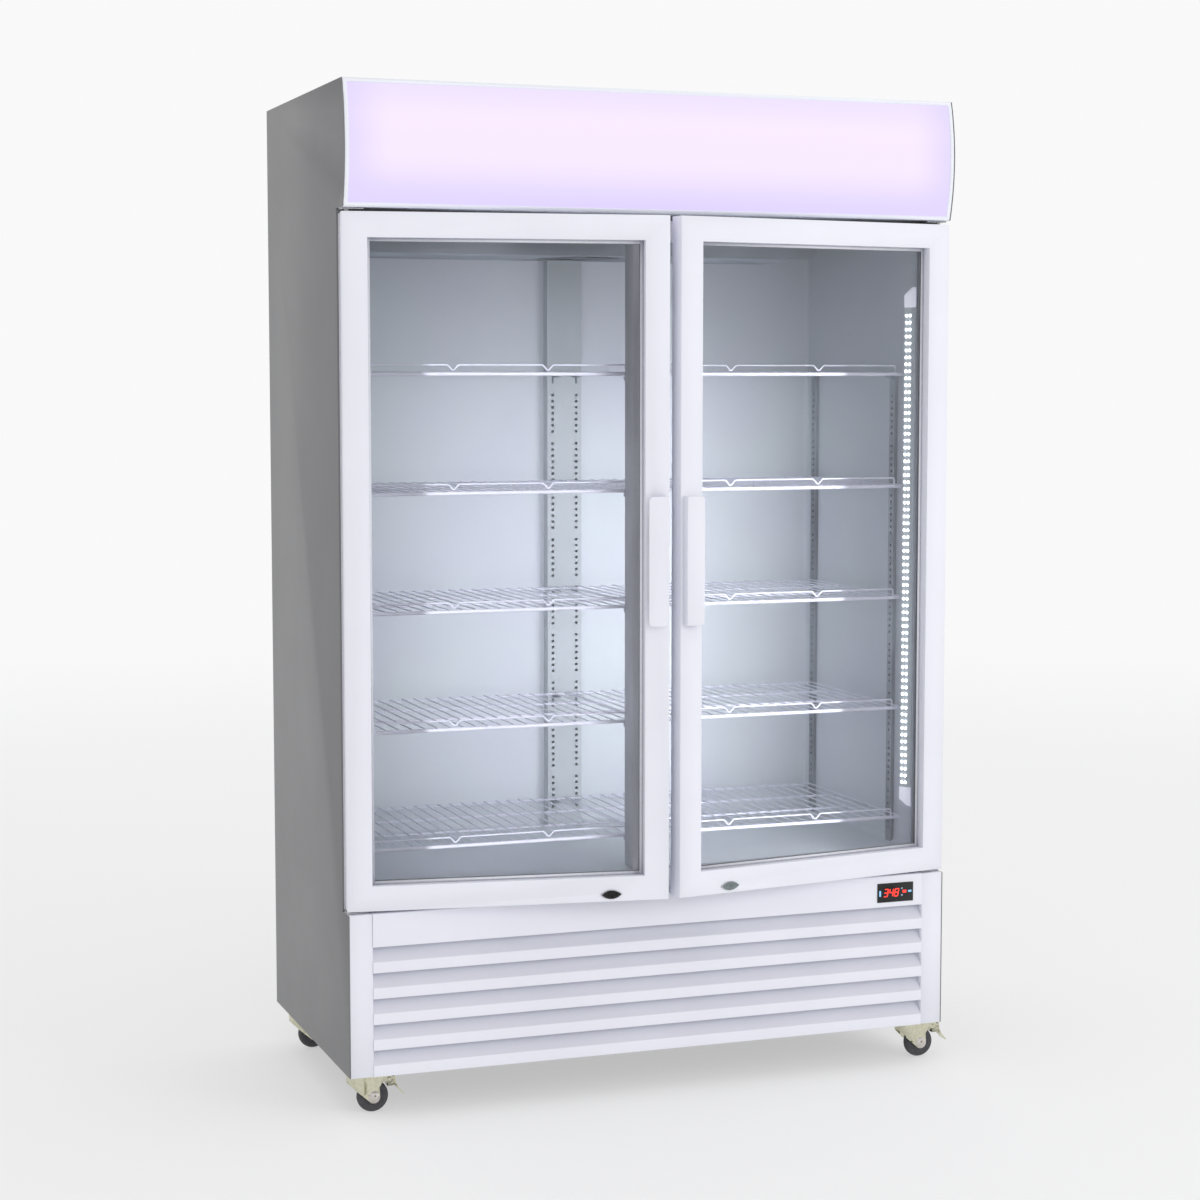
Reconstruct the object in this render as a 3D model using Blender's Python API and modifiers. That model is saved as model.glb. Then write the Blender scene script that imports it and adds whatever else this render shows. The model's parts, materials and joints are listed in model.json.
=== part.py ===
"""Two-door glass merchandiser: an upright display refrigerator on swivel casters.

Metres, +Z up, standing on Z 0. The front faces -Y, and both doors stand ajar. While it is built,
Y 0 is the front plane of the base; the last step moves the whole so that the middle of its
footprint is at X 0, Y 0.
"""

import math

import bmesh
import bpy
from mathutils import Matrix, Vector

# Overall
WIDTH = 1.270
DEPTH = 0.642
BODY_HEIGHT = 1.900
FIT = 0.0003  # between pieces that touch

# Insulated cabinet
SIDE_WALL = 0.042
REAR_WALL = 0.044
ROOF = 0.042
FLOOR = 0.042
SKIN = 0.002  # outer side sheets, which run on past the doors' plane
FACE_Y = 0.048  # front of the cabinet, which the door seals meet
HEADER_DEPTH = 0.042
HEADER_DROP = 0.050  # below the canopy
MULLION_WIDTH = 0.073
MULLION_DEPTH = 0.047

# Base
BASE_HEIGHT = 0.318
POST_WIDTH = 0.0475
PANEL_DEPTH = 0.022
LEDGE = 0.012
PAN_LIFT = 0.003
PAN = 0.010
LOUVRE_PITCH = 0.0506
LOUVRE_OPENING = 0.0296
LOUVRE_DEPTH = 0.014
LOUVRE_REST = 0.020  # least panel below the last louvre
LOUVRE_DROP = 0.064  # from the base's top to the first louvre
VENT = 0.005
VENT_DROP = 0.001  # below a louvre's top
VENT_REST = 0.020  # panel left at each end of a vent
VENTS = 3
CONTROLLER = (0.082, 0.040)  # width, height
CONTROLLER_BODY = (0.071, 0.029, 0.045)
CONTROLLER_EDGE = 0.110  # from the cabinet's right side to the middle of the display
CONTROLLER_DROP = 0.0345
CONTROLLER_PROUD = 0.003

# Canopy
CANOPY_HEIGHT = 0.238
CANOPY_BULGE = 0.017
BEZEL_SIDE = 0.008
BEZEL_TOP = 0.008
CANOPY_BACK = 0.012
DIFFUSER = 0.003
DIFFUSER_INSET = 0.0015
TUBE_RADIUS = 0.010
TUBE_Y = 0.014
TUBE_END = 0.055
HOLDER = 0.024

# Doors
DOOR_SIDE_GAP = 0.003
DOOR_FACE_Y = 0.003
DOOR_BOTTOM_GAP = 0.0065
DOOR_TOP_GAP = 0.008
DOOR_MIDDLE_GAP = 0.004
DOOR_DEPTH = 0.036
DOOR_RAIL = 0.048
GLASS_RECESS = 0.022
GLASS = 0.012
GLASS_BITE = 0.009
PIN_INSET = 0.012  # hinge pin from the door's outer edge
PIN_DEPTH = 0.022  # hinge pin behind the door's face
PIN_RADIUS = 0.004
PIN_BITE = 0.013
HINGE_PLATE = 0.003
HINGE_LAP = 0.003  # of a hinge plate past the inner wall
AJAR_DEGREES = 8.4
GASKET_INSET = 0.014
GASKET_WIDTH = 0.016

# Handles and locks
HANDLE_WIDTH = 0.0395
HANDLE_HEIGHT = 0.252
HANDLE_INSET = 0.005
HANDLE_PROUD = 0.018
HANDLE_PLATE = 0.0045
HANDLE_WALL = 0.006
HANDLE_CORNER = 0.009
LOCK_EDGE = 0.115  # from the door's free edge
LOCK_RISE = 0.0138  # above the door's lower edge
LOCK_RADIUS = 0.0055
LOCK_DEPTH = 0.018
KEYWAY = (0.0012, 0.006, 0.004)  # width, height, depth
ESCUTCHEON = (0.042, 0.0175, 0.0025)  # length, height, how proud

# Shelves
SHELVES = 5
FIRST_SHELF = 0.065  # first shelf's top above the cabinet's floor
LAST_SHELF = 0.2566  # last shelf's top below the header
SHELF_FRONT = 0.052  # behind the face that the doors meet
SHELF_BACK = 0.033  # in front of the rear wall
SHELF_SIDE_GAP = 0.009
SHELF_MIDDLE_GAP = 0.004
SHELF_THICKNESS = 0.009
SHELF_BORDER = 0.012
SHELF_SLOTS = 9
RETAINER = (0.005, 0.015)  # depth, height
CLIP = (0.018, 0.008)  # width, height
CLIP_BITE = 0.017

# Shelf standards
STANDARD = (0.024, 0.008)  # width, depth
FRONT_STANDARD = 0.056  # behind the shelves' front
REAR_STANDARD = 0.017  # in front of the shelves' back
PILASTER = (0.078, 0.027)  # width, depth
CLIP_OFFSET = 0.022  # of a middle clip from the cabinet's middle

# Strip lights
STRIP_LOW = 0.087  # above the cabinet's floor
STRIP_HIGH = 0.082  # below the header
STRIP_PLACE = (0.018, 0.037)  # front and back, behind the face that the doors meet
STRIP_PROUD = (0.0095, 0.018)

# Evaporator
COVER_SIDE = 0.093  # from each inner wall
COVER_DEPTH = 0.248
COVER_DROP = 0.016  # below the header
COVER_WALL = 0.003
COVER_CORNER = 0.025
FAN_RADIUS = 0.082
FAN_SHAFT = 0.004
FAN_HUB = 0.022
FAN_DEPTH = 0.022
FAN_BLADES = 5
BLADE = (0.056, 0.002)  # width, thickness
BLADE_TILT = 18
FAN_GAP = 0.008
FAN_ROOM = 0.006
BAR_WIDTH = 0.014
BAR_OVERLAP = 0.014  # of the fan bar beyond the fan's opening
COIL_SIDE = 0.080  # from each end of the cover
COIL_BACK = 0.020
COIL = (0.150, 0.130)  # depth, height

# Machine space
CONDENSER = (0.380, 0.045, 0.185)
CONDENSER_SIDE = 0.103  # from the left inner wall
CONDENSER_FRONT = 0.047  # behind the cabinet's face
COMPRESSOR_SIDE = 0.363  # its middle from the right inner wall
COMPRESSOR_BACK = 0.238
COMPRESSOR_RADIUS = 0.078
COMPRESSOR_HEIGHT = 0.161
COMPRESSOR_DOME = 0.047
COMPRESSOR_FLANGE = (0.012, 0.020)
STAND = (0.030, 0.030)

# Casters
CASTER_X = 0.040  # swivel axis from the cabinet's side
CASTER_Y = 0.070  # swivel axis from the front or the back
PAD = 0.058
KING_PIN = 0.006
TRAIL = 0.022
CASTER_ROOM = 0.025  # between the wheel and the body
WHEEL_RADIUS = 0.0315
WHEEL_WIDTH = 0.021
HUB_RADIUS = 0.0125
AXLE_RADIUS = 0.004
AXLE_HEAD = (0.0075, 0.0035)
DRUM_RADIUS = 0.029
FORK_WIDTH = 0.031
WHEEL_ROOM = 0.003
WHEEL_SIDE_ROOM = 0.002
CHEEK_BACK = 0.012  # of the swivel axis
CHEEK_ELBOW = 0.0135  # above the axle
DRUM_EDGE = 0.0295  # the drum's outer edge above the axle
DRUM_SLOPE = 41
DRUM_FLAT = 0.0355  # above the axle, where the drum's round side begins over the cheeks
PEDAL_REACH = 0.01455  # from the tread of the wheel to the pedal's pin
PEDAL_ANGLE = 48.52
PEDAL_PIN = 0.003
PEDAL_BOSS = 0.0055
PEDAL_SHEET = 0.0025
PEDAL_SHOE = (0.002, 0.016)  # how far in and down from the pin the shoe reaches

# Heights above the floor that several pieces share
BODY_LOW = 2 * WHEEL_RADIUS + CASTER_ROOM
BODY_TOP = BODY_LOW + BODY_HEIGHT
BASE_TOP = BODY_LOW + BASE_HEIGHT
PAN_TOP = BODY_LOW + PAN_LIFT + PAN
CANOPY_LOW = BODY_TOP - CANOPY_HEIGHT
HEADER_LOW = CANOPY_LOW - HEADER_DROP
FLOOR_TOP = BASE_TOP + FLOOR
DOOR_LOW = BASE_TOP + DOOR_BOTTOM_GAP
DOOR_HIGH = CANOPY_LOW - DOOR_TOP_GAP
DOOR_WIDTH = WIDTH / 2 - DOOR_SIDE_GAP - DOOR_MIDDLE_GAP / 2
DOOR_MIDDLE = (DOOR_LOW + DOOR_HIGH) / 2
COVER_LOW = HEADER_LOW - COVER_DROP
INNER_X = WIDTH / 2 - SIDE_WALL
REAR_Y = DEPTH - REAR_WALL
SHELF_FRONT_Y = FACE_Y + SHELF_FRONT
SHELF_BACK_Y = REAR_Y - SHELF_BACK
LEFT, RIGHT = -1, 1
SIDE_NAMES = {LEFT: "left", RIGHT: "right"}

MATERIALS = {
    # name: colour, metallic, roughness
    "white_paint": ((0.84, 0.85, 0.90), 0.0, 0.35),
    "grey_paint": ((0.23, 0.23, 0.23), 0.0, 0.45),
    "inner_liner": ((0.55, 0.60, 0.65), 0.0, 0.40),
    "grey_seal": ((0.30, 0.30, 0.32), 0.0, 0.60),
    "glass": ((0.80, 0.86, 0.86), 0.0, 0.05),
    "lit_panel": ((0.85, 0.78, 0.98), 0.0, 0.40),
    "white_wire": ((0.80, 0.82, 0.88), 0.0, 0.35),
    "black_plastic": ((0.01, 0.01, 0.012), 0.0, 0.30),
    "lock_metal": ((0.35, 0.37, 0.38), 0.9, 0.30),
    "zinc": ((0.48, 0.50, 0.40), 0.9, 0.35),
    "rubber": ((0.03, 0.03, 0.035), 0.0, 0.55),
    "copper_fins": ((0.55, 0.55, 0.56), 0.8, 0.40),
    "black_steel": ((0.02, 0.02, 0.02), 0.3, 0.45),
}


def clear_scene():
    for old in list(bpy.data.objects):
        bpy.data.objects.remove(old, do_unlink=True)


def new_collection(name):
    made = bpy.data.collections.new(name)
    bpy.context.scene.collection.children.link(made)
    return made


def material(kind, node):
    """The node's own Principled material, in the colour of its kind."""
    colour, metallic, roughness = MATERIALS[kind]
    made = bpy.data.materials.new(f"{node}_{kind}")
    made.use_nodes = True
    shader = made.node_tree.nodes["Principled BSDF"]
    shader.inputs["Base Color"].default_value = (*colour, 1)
    shader.inputs["Metallic"].default_value = metallic
    shader.inputs["Roughness"].default_value = roughness
    return made


def from_bmesh(name, shape):
    mesh = bpy.data.meshes.new(name)
    shape.to_mesh(mesh)
    shape.free()
    made = bpy.data.objects.new(name, mesh)
    CUTTERS.objects.link(made)
    made.hide_render = True
    made.display_type = "WIRE"
    return made


def box(name, *spans):
    """A block from three (low, high) spans along X, Y and Z."""
    spans = [sorted(span) for span in spans]
    middle = Vector([(low + high) / 2 for low, high in spans])
    size = [high - low for low, high in spans]
    shape = bmesh.new()
    place = Matrix.Translation(middle) @ Matrix.Diagonal((*size, 1))
    bmesh.ops.create_cube(shape, size=1, matrix=place)
    return from_bmesh(name, shape)


def boxes(name, blocks):
    """Separate blocks in one object, to cut a pattern with."""
    shape = bmesh.new()
    for spans in blocks:
        middle = Vector([sum(span) / 2 for span in spans])
        size = [high - low for low, high in spans]
        place = Matrix.Translation(middle) @ Matrix.Diagonal((*size, 1))
        bmesh.ops.create_cube(shape, size=1, matrix=place)
    return from_bmesh(name, shape)


AXIS_TURNS = {
    "X": Matrix.Rotation(math.radians(90), 4, "Y"),
    "Y": Matrix.Rotation(math.radians(-90), 4, "X"),
    "Z": Matrix.Identity(4),
}


def cylinder(name, radius, low, high, axis="Z", at=(0, 0, 0), sides=24):
    """A cylinder along the axis from low to high, through the point at."""
    shape = bmesh.new()
    place = Matrix.Translation(at) @ AXIS_TURNS[axis] @ Matrix.Translation((0, 0, (low + high) / 2))
    bmesh.ops.create_cone(
        shape, cap_ends=True, segments=sides, radius1=radius, radius2=radius, depth=high - low, matrix=place
    )
    return from_bmesh(name, shape)


PLANES = {
    # first and second outline direction, then the direction it is extruded along
    "XY": Matrix.Identity(4),
    "YZ": Matrix(((0, 0, 1, 0), (1, 0, 0, 0), (0, 1, 0, 0), (0, 0, 0, 1))),
    "XZ": Matrix(((1, 0, 0, 0), (0, 0, -1, 0), (0, 1, 0, 0), (0, 0, 0, 1))),
}


def outline(name, points, plane, low, high):
    """A flat outline in one of the PLANES, extruded from low to high along the third axis."""
    curve = bpy.data.curves.new(name, "CURVE")
    curve.dimensions = "2D"
    curve.fill_mode = "BOTH"
    curve.extrude = (high - low) / 2
    spline = curve.splines.new("POLY")
    spline.points.add(len(points) - 1)
    for point, (first, second) in zip(spline.points, points):
        point.co = (first, second, 0, 1)
    spline.use_cyclic_u = True
    guide = bpy.data.objects.new(name + "_guide", curve)
    CUTTERS.objects.link(guide)
    bpy.context.view_layer.update()
    graph = bpy.context.evaluated_depsgraph_get()
    mesh = bpy.data.meshes.new_from_object(guide.evaluated_get(graph))
    bpy.data.objects.remove(guide, do_unlink=True)
    shape = bmesh.new()
    shape.from_mesh(mesh)
    bpy.data.meshes.remove(mesh)
    bmesh.ops.remove_doubles(shape, verts=shape.verts, dist=1e-6)
    middle = (low + high) / 2 * (-1 if plane == "XZ" else 1)
    shape.transform(PLANES[plane] @ Matrix.Translation((0, 0, middle)))
    bmesh.ops.recalc_face_normals(shape, faces=shape.faces)
    return from_bmesh(name, shape)


def turned(name, profile, steps=24):
    """A profile of (radius, height) points, run top to bottom on the outside, turned about Z."""
    mesh = bpy.data.meshes.new(name)
    points = [(radius, 0, height) for radius, height in profile]
    edges = [(i, (i + 1) % len(points)) for i in range(len(points))]
    mesh.from_pydata(points, edges, [])
    made = bpy.data.objects.new(name, mesh)
    CUTTERS.objects.link(made)
    made.hide_render = True
    screw = made.modifiers.new("turn", "SCREW")
    screw.steps = screw.render_steps = steps
    screw.use_merge_vertices = True
    screw.merge_threshold = 1e-6
    return made


def arc(centre, radius, start, end, steps):
    """Points of an arc from start to end degrees."""
    angles = [math.radians(start + (end - start) * i / steps) for i in range(steps + 1)]
    return [(centre[0] + radius * math.cos(a), centre[1] + radius * math.sin(a)) for a in angles]


def bow(low, high, rise, inset=0.0, steps=12):
    """(Y, Z) points of a front that bows out by rise between two heights, moved back by inset."""
    half = (high - low) / 2
    radius = (half**2 + rise**2) / (2 * rise)
    middle = (low + high) / 2
    points = []
    for i in range(steps + 1):
        z = low + (high - low) * i / steps
        y = radius - rise - math.sqrt(radius**2 - (z - middle) ** 2)
        points.append((y + inset, z))
    return points


def boolean(target, operation, tools):
    for tool in tools:
        modifier = target.modifiers.new(f"{operation.lower()}_{tool.name}", "BOOLEAN")
        modifier.operation = operation
        modifier.object = tool
    return target


def join(target, *tools):
    return boolean(target, "UNION", tools)


def cut(target, *tools):
    return boolean(target, "DIFFERENCE", tools)


def settle(made):
    """The object's mesh with its modifiers and its own transform worked in."""
    bpy.context.view_layer.update()
    graph = bpy.context.evaluated_depsgraph_get()
    mesh = bpy.data.meshes.new_from_object(made.evaluated_get(graph))
    mesh.transform(made.matrix_world)
    made.modifiers.clear()
    made.data = mesh
    made.matrix_world = Matrix.Identity(4)
    return made


def piece(made, kind, parent=None, smooth=False):
    """Makes an object a node: out of the cutters, with its own material, under its parent."""
    CUTTERS.objects.unlink(made)
    PARTS.objects.link(made)
    made.hide_render = False
    made.display_type = "TEXTURED"
    made.data.materials.clear()
    made.data.materials.append(material(kind, made.name))
    made.parent = parent or ROOT
    for modifier in made.modifiers:
        if modifier.type == "BOOLEAN":
            modifier.object.parent = made.parent
    if smooth:
        made.data.shade_smooth()
        made.data.set_sharp_from_angle(angle=math.radians(35))
    return made


def empty(name, location, parent=None):
    made = bpy.data.objects.new(name, None)
    made.empty_display_size = 0.05
    PARTS.objects.link(made)
    made.location = location
    made.parent = parent or ROOT
    return made


# ---- Cabinet ----


def side_panel(side):
    """An insulated wall behind a sheet that runs forward beside the base and the canopy."""
    outer = side * WIDTH / 2
    profile = [(0, BODY_LOW), (DEPTH, BODY_LOW), (DEPTH, BODY_TOP)]
    profile += reversed(bow(CANOPY_LOW, BODY_TOP, CANOPY_BULGE))
    profile += [(FACE_Y, CANOPY_LOW), (FACE_Y, BASE_TOP), (0, BASE_TOP)]
    name = f"{SIDE_NAMES[side]}_side_panel"
    low, high = sorted((outer, outer - side * SKIN))
    sheet = outline(name, profile, "YZ", low, high)
    core_x = (outer - side * SKIN / 2, side * INNER_X)
    core = box(name + "_core", core_x, (FACE_Y, DEPTH), (PAN_TOP + FIT, BODY_TOP))
    return piece(join(sheet, core), "grey_paint")


def rear_wall():
    across = (-INNER_X + FIT, INNER_X - FIT)
    up = (PAN_TOP + FIT, BODY_TOP - ROOF - FIT)
    piece(box("rear_wall", across, (REAR_Y, DEPTH), up), "grey_paint")


def top_panel():
    """The roof, with the header behind the canopy."""
    across = (-INNER_X + FIT, INNER_X - FIT)
    roof = box("top_panel", across, (FACE_Y, DEPTH), (BODY_TOP - ROOF, BODY_TOP))
    header_up = (HEADER_LOW, BODY_TOP - ROOF / 2)
    header = box("top_panel_header", across, (FACE_Y, FACE_Y + HEADER_DEPTH), header_up)
    piece(join(roof, header), "inner_liner")


def cabinet_floor():
    across = (-INNER_X + FIT, INNER_X - FIT)
    piece(box("cabinet_floor", across, (FACE_Y, REAR_Y - FIT), (BASE_TOP, FLOOR_TOP)), "inner_liner")


def shelf_tops():
    first, last = FLOOR_TOP + FIRST_SHELF, HEADER_LOW - LAST_SHELF
    return [first + i * (last - first) / (SHELVES - 1) for i in range(SHELVES)]


def clip_heights():
    """(low, high) of the clips under each shelf."""
    tops = [top - SHELF_THICKNESS - FIT for top in shelf_tops()]
    return [(top - CLIP[1], top) for top in tops]


def middle_clips(name, y_low, y_high):
    """Clips for both bays' shelves on a middle post."""
    blocks = []
    for side in (LEFT, RIGHT):
        across = sorted((side * (CLIP_OFFSET - CLIP[0] / 2), side * (CLIP_OFFSET + CLIP[0] / 2)))
        blocks += [(across, (y_low, y_high), up) for up in clip_heights()]
    return boxes(name, blocks)


def center_mullion():
    half = MULLION_WIDTH / 2
    back = FACE_Y + MULLION_DEPTH
    post = box("center_mullion", (-half, half), (FACE_Y, back), (FLOOR_TOP + FIT, HEADER_LOW - FIT))
    clips = middle_clips("center_mullion_clips", back - 0.005, SHELF_FRONT_Y + CLIP_BITE)
    piece(join(post, clips), "inner_liner")


def rear_pilaster():
    half = PILASTER[0] / 2
    front = REAR_Y - PILASTER[1]
    up = (FLOOR_TOP + FIT, COVER_LOW - FIT)
    post = box("rear_pilaster", (-half, half), (front, REAR_Y - FIT), up)
    clips = middle_clips("rear_pilaster_clips", SHELF_BACK_Y - CLIP_BITE, front + 0.005)
    piece(join(post, clips), "inner_liner")


def wall_standard(side, where, y):
    """A slotted strip on a side wall, with the clips that the shelves rest on."""
    name = f"{SIDE_NAMES[side]}_{where}_pilaster"
    wall = side * (INNER_X - FIT)
    face = side * (INNER_X - STANDARD[1])
    half = STANDARD[0] / 2
    up = (FLOOR_TOP + FIT, COVER_LOW - FIT)
    strip = box(name, (wall, face), (y - half, y + half), up)
    shelf_edge = INNER_X - SHELF_SIDE_GAP
    reach = sorted((side * (shelf_edge - CLIP_BITE), face + side * 0.003))
    along = (y - CLIP[0] / 2, y + CLIP[0] / 2)
    clips = boxes(name + "_clips", [(reach, along, height) for height in clip_heights()])
    piece(join(strip, clips), "inner_liner")


def shelf_mesh():
    """One bay's shelf about its own middle, its top at Z 0: a slotted grille with a front lip."""
    half = (INNER_X - SHELF_SIDE_GAP - SHELF_MIDDLE_GAP / 2) / 2
    deep = (SHELF_FRONT_Y, SHELF_BACK_Y)
    plate = box("shelf_plate", (-half, half), deep, (-SHELF_THICKNESS, 0))
    lip = box("shelf_lip", (-half, half), (deep[0], deep[0] + RETAINER[0]), (-0.002, RETAINER[1]))
    room = 2 * half - SHELF_BORDER
    pitch = room / SHELF_SLOTS
    gaps = []
    for i in range(SHELF_SLOTS):
        low = -half + SHELF_BORDER + i * pitch
        across = (low, low + pitch - SHELF_BORDER)
        gaps.append((across, (deep[0] + SHELF_BORDER, deep[1] - SHELF_BORDER), (-0.02, 0.01)))
    slots = boxes("shelf_slots", gaps)
    plate = settle(join(cut(plate, slots), lip))
    mesh = plate.data
    for helper in (plate, lip, slots):
        bpy.data.objects.remove(helper, do_unlink=True)
    return mesh


def shelves():
    mesh = shelf_mesh()
    middle = (INNER_X - SHELF_SIDE_GAP + SHELF_MIDDLE_GAP / 2) / 2
    for side in (LEFT, RIGHT):
        for number, top in enumerate(shelf_tops(), 1):
            made = bpy.data.objects.new(f"{SIDE_NAMES[side]}_shelf_{number}", mesh.copy())
            CUTTERS.objects.link(made)
            made.location = (side * middle, 0, top)
            piece(made, "white_wire")


def led_strip(side):
    """A wedge-shaped light on the side wall, its lens turned towards the middle."""
    wall = side * (INNER_X - FIT)
    thin = side * (INNER_X - STRIP_PROUD[0])
    thick = side * (INNER_X - STRIP_PROUD[1])
    front, back = (FACE_Y + y for y in STRIP_PLACE)
    points = [(wall, front), (thin, front), (thick, back - 0.006), (thick, back), (wall, back)]
    up = (FLOOR_TOP + STRIP_LOW, HEADER_LOW - STRIP_HIGH)
    piece(outline(f"{SIDE_NAMES[side]}_led_strip", points, "XY", *up), "white_wire")


# ---- Canopy ----


def canopy_profile(inset, margin):
    """The bowed front between the canopy's lower and upper edges, less a margin at each."""
    span = bow(CANOPY_LOW, BODY_TOP, CANOPY_BULGE, inset, steps=24)
    low, high = CANOPY_LOW + margin, BODY_TOP - margin
    radius = ((CANOPY_HEIGHT / 2) ** 2 + CANOPY_BULGE**2) / (2 * CANOPY_BULGE)
    middle = (CANOPY_LOW + BODY_TOP) / 2
    inner = [point for point in span if low < point[1] < high]
    ends = []
    for z in (low, high):
        ends.append((inset + radius - CANOPY_BULGE - math.sqrt(radius**2 - (z - middle) ** 2), z))
    return [ends[0], *inner, ends[1]]


def canopy_housing():
    """A shallow box with a bowed rim, open to the front, with two lamp holders."""
    half = WIDTH / 2 - SKIN - FIT
    back = FACE_Y - FIT
    profile = [*canopy_profile(0, 0), (back, BODY_TOP), (back, CANOPY_LOW)]
    body = outline("canopy_housing", profile, "YZ", -half, half)
    inner = half - BEZEL_SIDE
    heights = (CANOPY_LOW + BEZEL_TOP, BODY_TOP - BEZEL_TOP)
    window = box("canopy_window", (-inner, inner), (-0.1, back - CANOPY_BACK), heights)
    middle = (CANOPY_LOW + BODY_TOP) / 2
    holders = []
    for side in (LEFT, RIGHT):
        at = side * (half - TUBE_END)
        across = (at - HOLDER / 2, at + HOLDER / 2)
        up = (middle - HOLDER / 2, middle + HOLDER / 2)
        holders.append((across, (TUBE_Y + TUBE_RADIUS + FIT, back - CANOPY_BACK / 2), up))
    piece(join(cut(body, window), boxes("canopy_holders", holders)), "white_paint")


def canopy_diffuser():
    margin = BEZEL_TOP + FIT
    outer = canopy_profile(DIFFUSER_INSET, margin)
    inner = canopy_profile(DIFFUSER_INSET + DIFFUSER, margin)
    half = WIDTH / 2 - SKIN - FIT - BEZEL_SIDE - FIT
    panel = outline("canopy_diffuser", [*outer, *reversed(inner)], "YZ", -half, half)
    piece(panel, "lit_panel", smooth=True)


def canopy_light_tube():
    half = WIDTH / 2 - SKIN - FIT - TUBE_END + HOLDER / 2
    middle = (CANOPY_LOW + BODY_TOP) / 2
    tube = cylinder("canopy_light_tube", TUBE_RADIUS, -half, half, "X", (0, TUBE_Y, middle), sides=20)
    piece(tube, "lit_panel", smooth=True)


# ---- Base ----


def base_frame():
    """Two corner posts joined by the ledge under the doors."""
    half = WIDTH / 2 - SKIN - FIT
    inner = WIDTH / 2 - POST_WIDTH
    deep = (0, FACE_Y - FIT)
    post = box("base_frame", (-half, -inner), deep, (BODY_LOW, BASE_TOP))
    other = box("base_frame_right", (inner, half), deep, (BODY_LOW, BASE_TOP))
    ledge_y = (PANEL_DEPTH + FIT, deep[1])
    ledge = box("base_frame_ledge", (-half, half), ledge_y, (BASE_TOP - LEDGE, BASE_TOP))
    piece(join(post, other, ledge), "white_paint")


def louvre_tops():
    room = BASE_HEIGHT - LOUVRE_DROP - LOUVRE_OPENING - LOUVRE_REST
    return [BASE_TOP - LOUVRE_DROP - i * LOUVRE_PITCH for i in range(1 + int(room / LOUVRE_PITCH))]


def controller_middle():
    return WIDTH / 2 - CONTROLLER_EDGE, BASE_TOP - CONTROLLER_DROP


def louvre_panel():
    """A panel whose louvres lean back to a slot that lets the air through."""
    half = WIDTH / 2 - POST_WIDTH - FIT
    profile = [(PANEL_DEPTH, BODY_LOW), (PANEL_DEPTH, BASE_TOP), (0, BASE_TOP)]
    vents = []
    vent_y = (LOUVRE_DEPTH / 2, PANEL_DEPTH + 0.01)
    run = 2 * half / VENTS
    for top in louvre_tops():
        profile += [(0, top), (LOUVRE_DEPTH, top), (0, top - LOUVRE_OPENING)]
        for i in range(VENTS):
            across = (-half + i * run + VENT_REST, -half + (i + 1) * run - VENT_REST)
            vents.append((across, vent_y, (top - VENT - VENT_DROP, top - VENT_DROP)))
    profile.append((0, BODY_LOW))
    panel = outline("louvre_panel", profile, "YZ", -half, half)
    x, z = controller_middle()
    wide, high = (size / 2 + FIT for size in CONTROLLER_BODY[:2])
    deep = (-0.01, PANEL_DEPTH + 0.01)
    hole = box("controller_hole", (x - wide, x + wide), deep, (z - high, z + high))
    piece(cut(panel, boxes("louvre_vents", vents), hole), "white_paint")


def controller():
    x, z = controller_middle()
    wide, high = (size / 2 for size in CONTROLLER)
    face = box("controller", (x - wide, x + wide), (-CONTROLLER_PROUD, -FIT), (z - high, z + high))
    wide, high = (size / 2 for size in CONTROLLER_BODY[:2])
    body_y = (-CONTROLLER_PROUD / 2, CONTROLLER_BODY[2])
    body = box("controller_body", (x - wide, x + wide), body_y, (z - high, z + high))
    piece(join(face, body), "black_plastic")


def caster_places():
    """(name, X, Y) of each caster's swivel axis."""
    x = WIDTH / 2 - CASTER_X
    rows = (("front", CASTER_Y), ("rear", DEPTH - CASTER_Y))
    return [(f"{row}_{SIDE_NAMES[side]}", side * x, y) for row, y in rows for side in (LEFT, RIGHT)]


def condenser_place():
    """X of the condenser's middle, and Y of its front."""
    return CONDENSER_SIDE + CONDENSER[0] / 2 - INNER_X, FACE_Y + CONDENSER_FRONT


def condenser_fan_place():
    x, front = condenser_place()
    return x, front + CONDENSER[1] + FAN_GAP + FAN_DEPTH / 2, PAN_TOP + CONDENSER[2] / 2


def base_pan():
    """The floor of the machine space, with the casters' plates and the fan motor's stand."""
    half = WIDTH / 2 - SKIN - FIT
    low = BODY_LOW + PAN_LIFT
    pan = box("base_pan", (-half, half), (FACE_Y, DEPTH), (low, PAN_TOP))
    for name, x, y in caster_places():
        spans = ((x - PAD / 2, x + PAD / 2), (y - PAD / 2, y + PAD / 2))
        edges = ((-half, half), (FACE_Y, DEPTH))
        plate = [(max(span[0], edge[0]), min(span[1], edge[1])) for span, edge in zip(spans, edges)]
        join(pan, box(f"{name}_plate", *plate, (BODY_LOW, low + PAN / 2)))
    for name, x, y in caster_places():
        cut(pan, cylinder(f"{name}_pin_hole", KING_PIN + FIT, 0, PAN_TOP + 0.01, at=(x, y, 0), sides=20))
    x, y, z = condenser_fan_place()
    back = y + FAN_DEPTH / 2 + FAN_GAP
    stand_x = (x - STAND[0] / 2, x + STAND[0] / 2)
    stand = box("fan_motor_stand", stand_x, (back, back + STAND[1]), (low + PAN / 2, z + FAN_HUB))
    front = y - FAN_DEPTH / 2
    shaft = cylinder("condenser_fan_shaft", FAN_SHAFT, front, back + 0.005, "Y", (x, 0, z), 16)
    piece(join(pan, stand, shaft), "black_steel")


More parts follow.
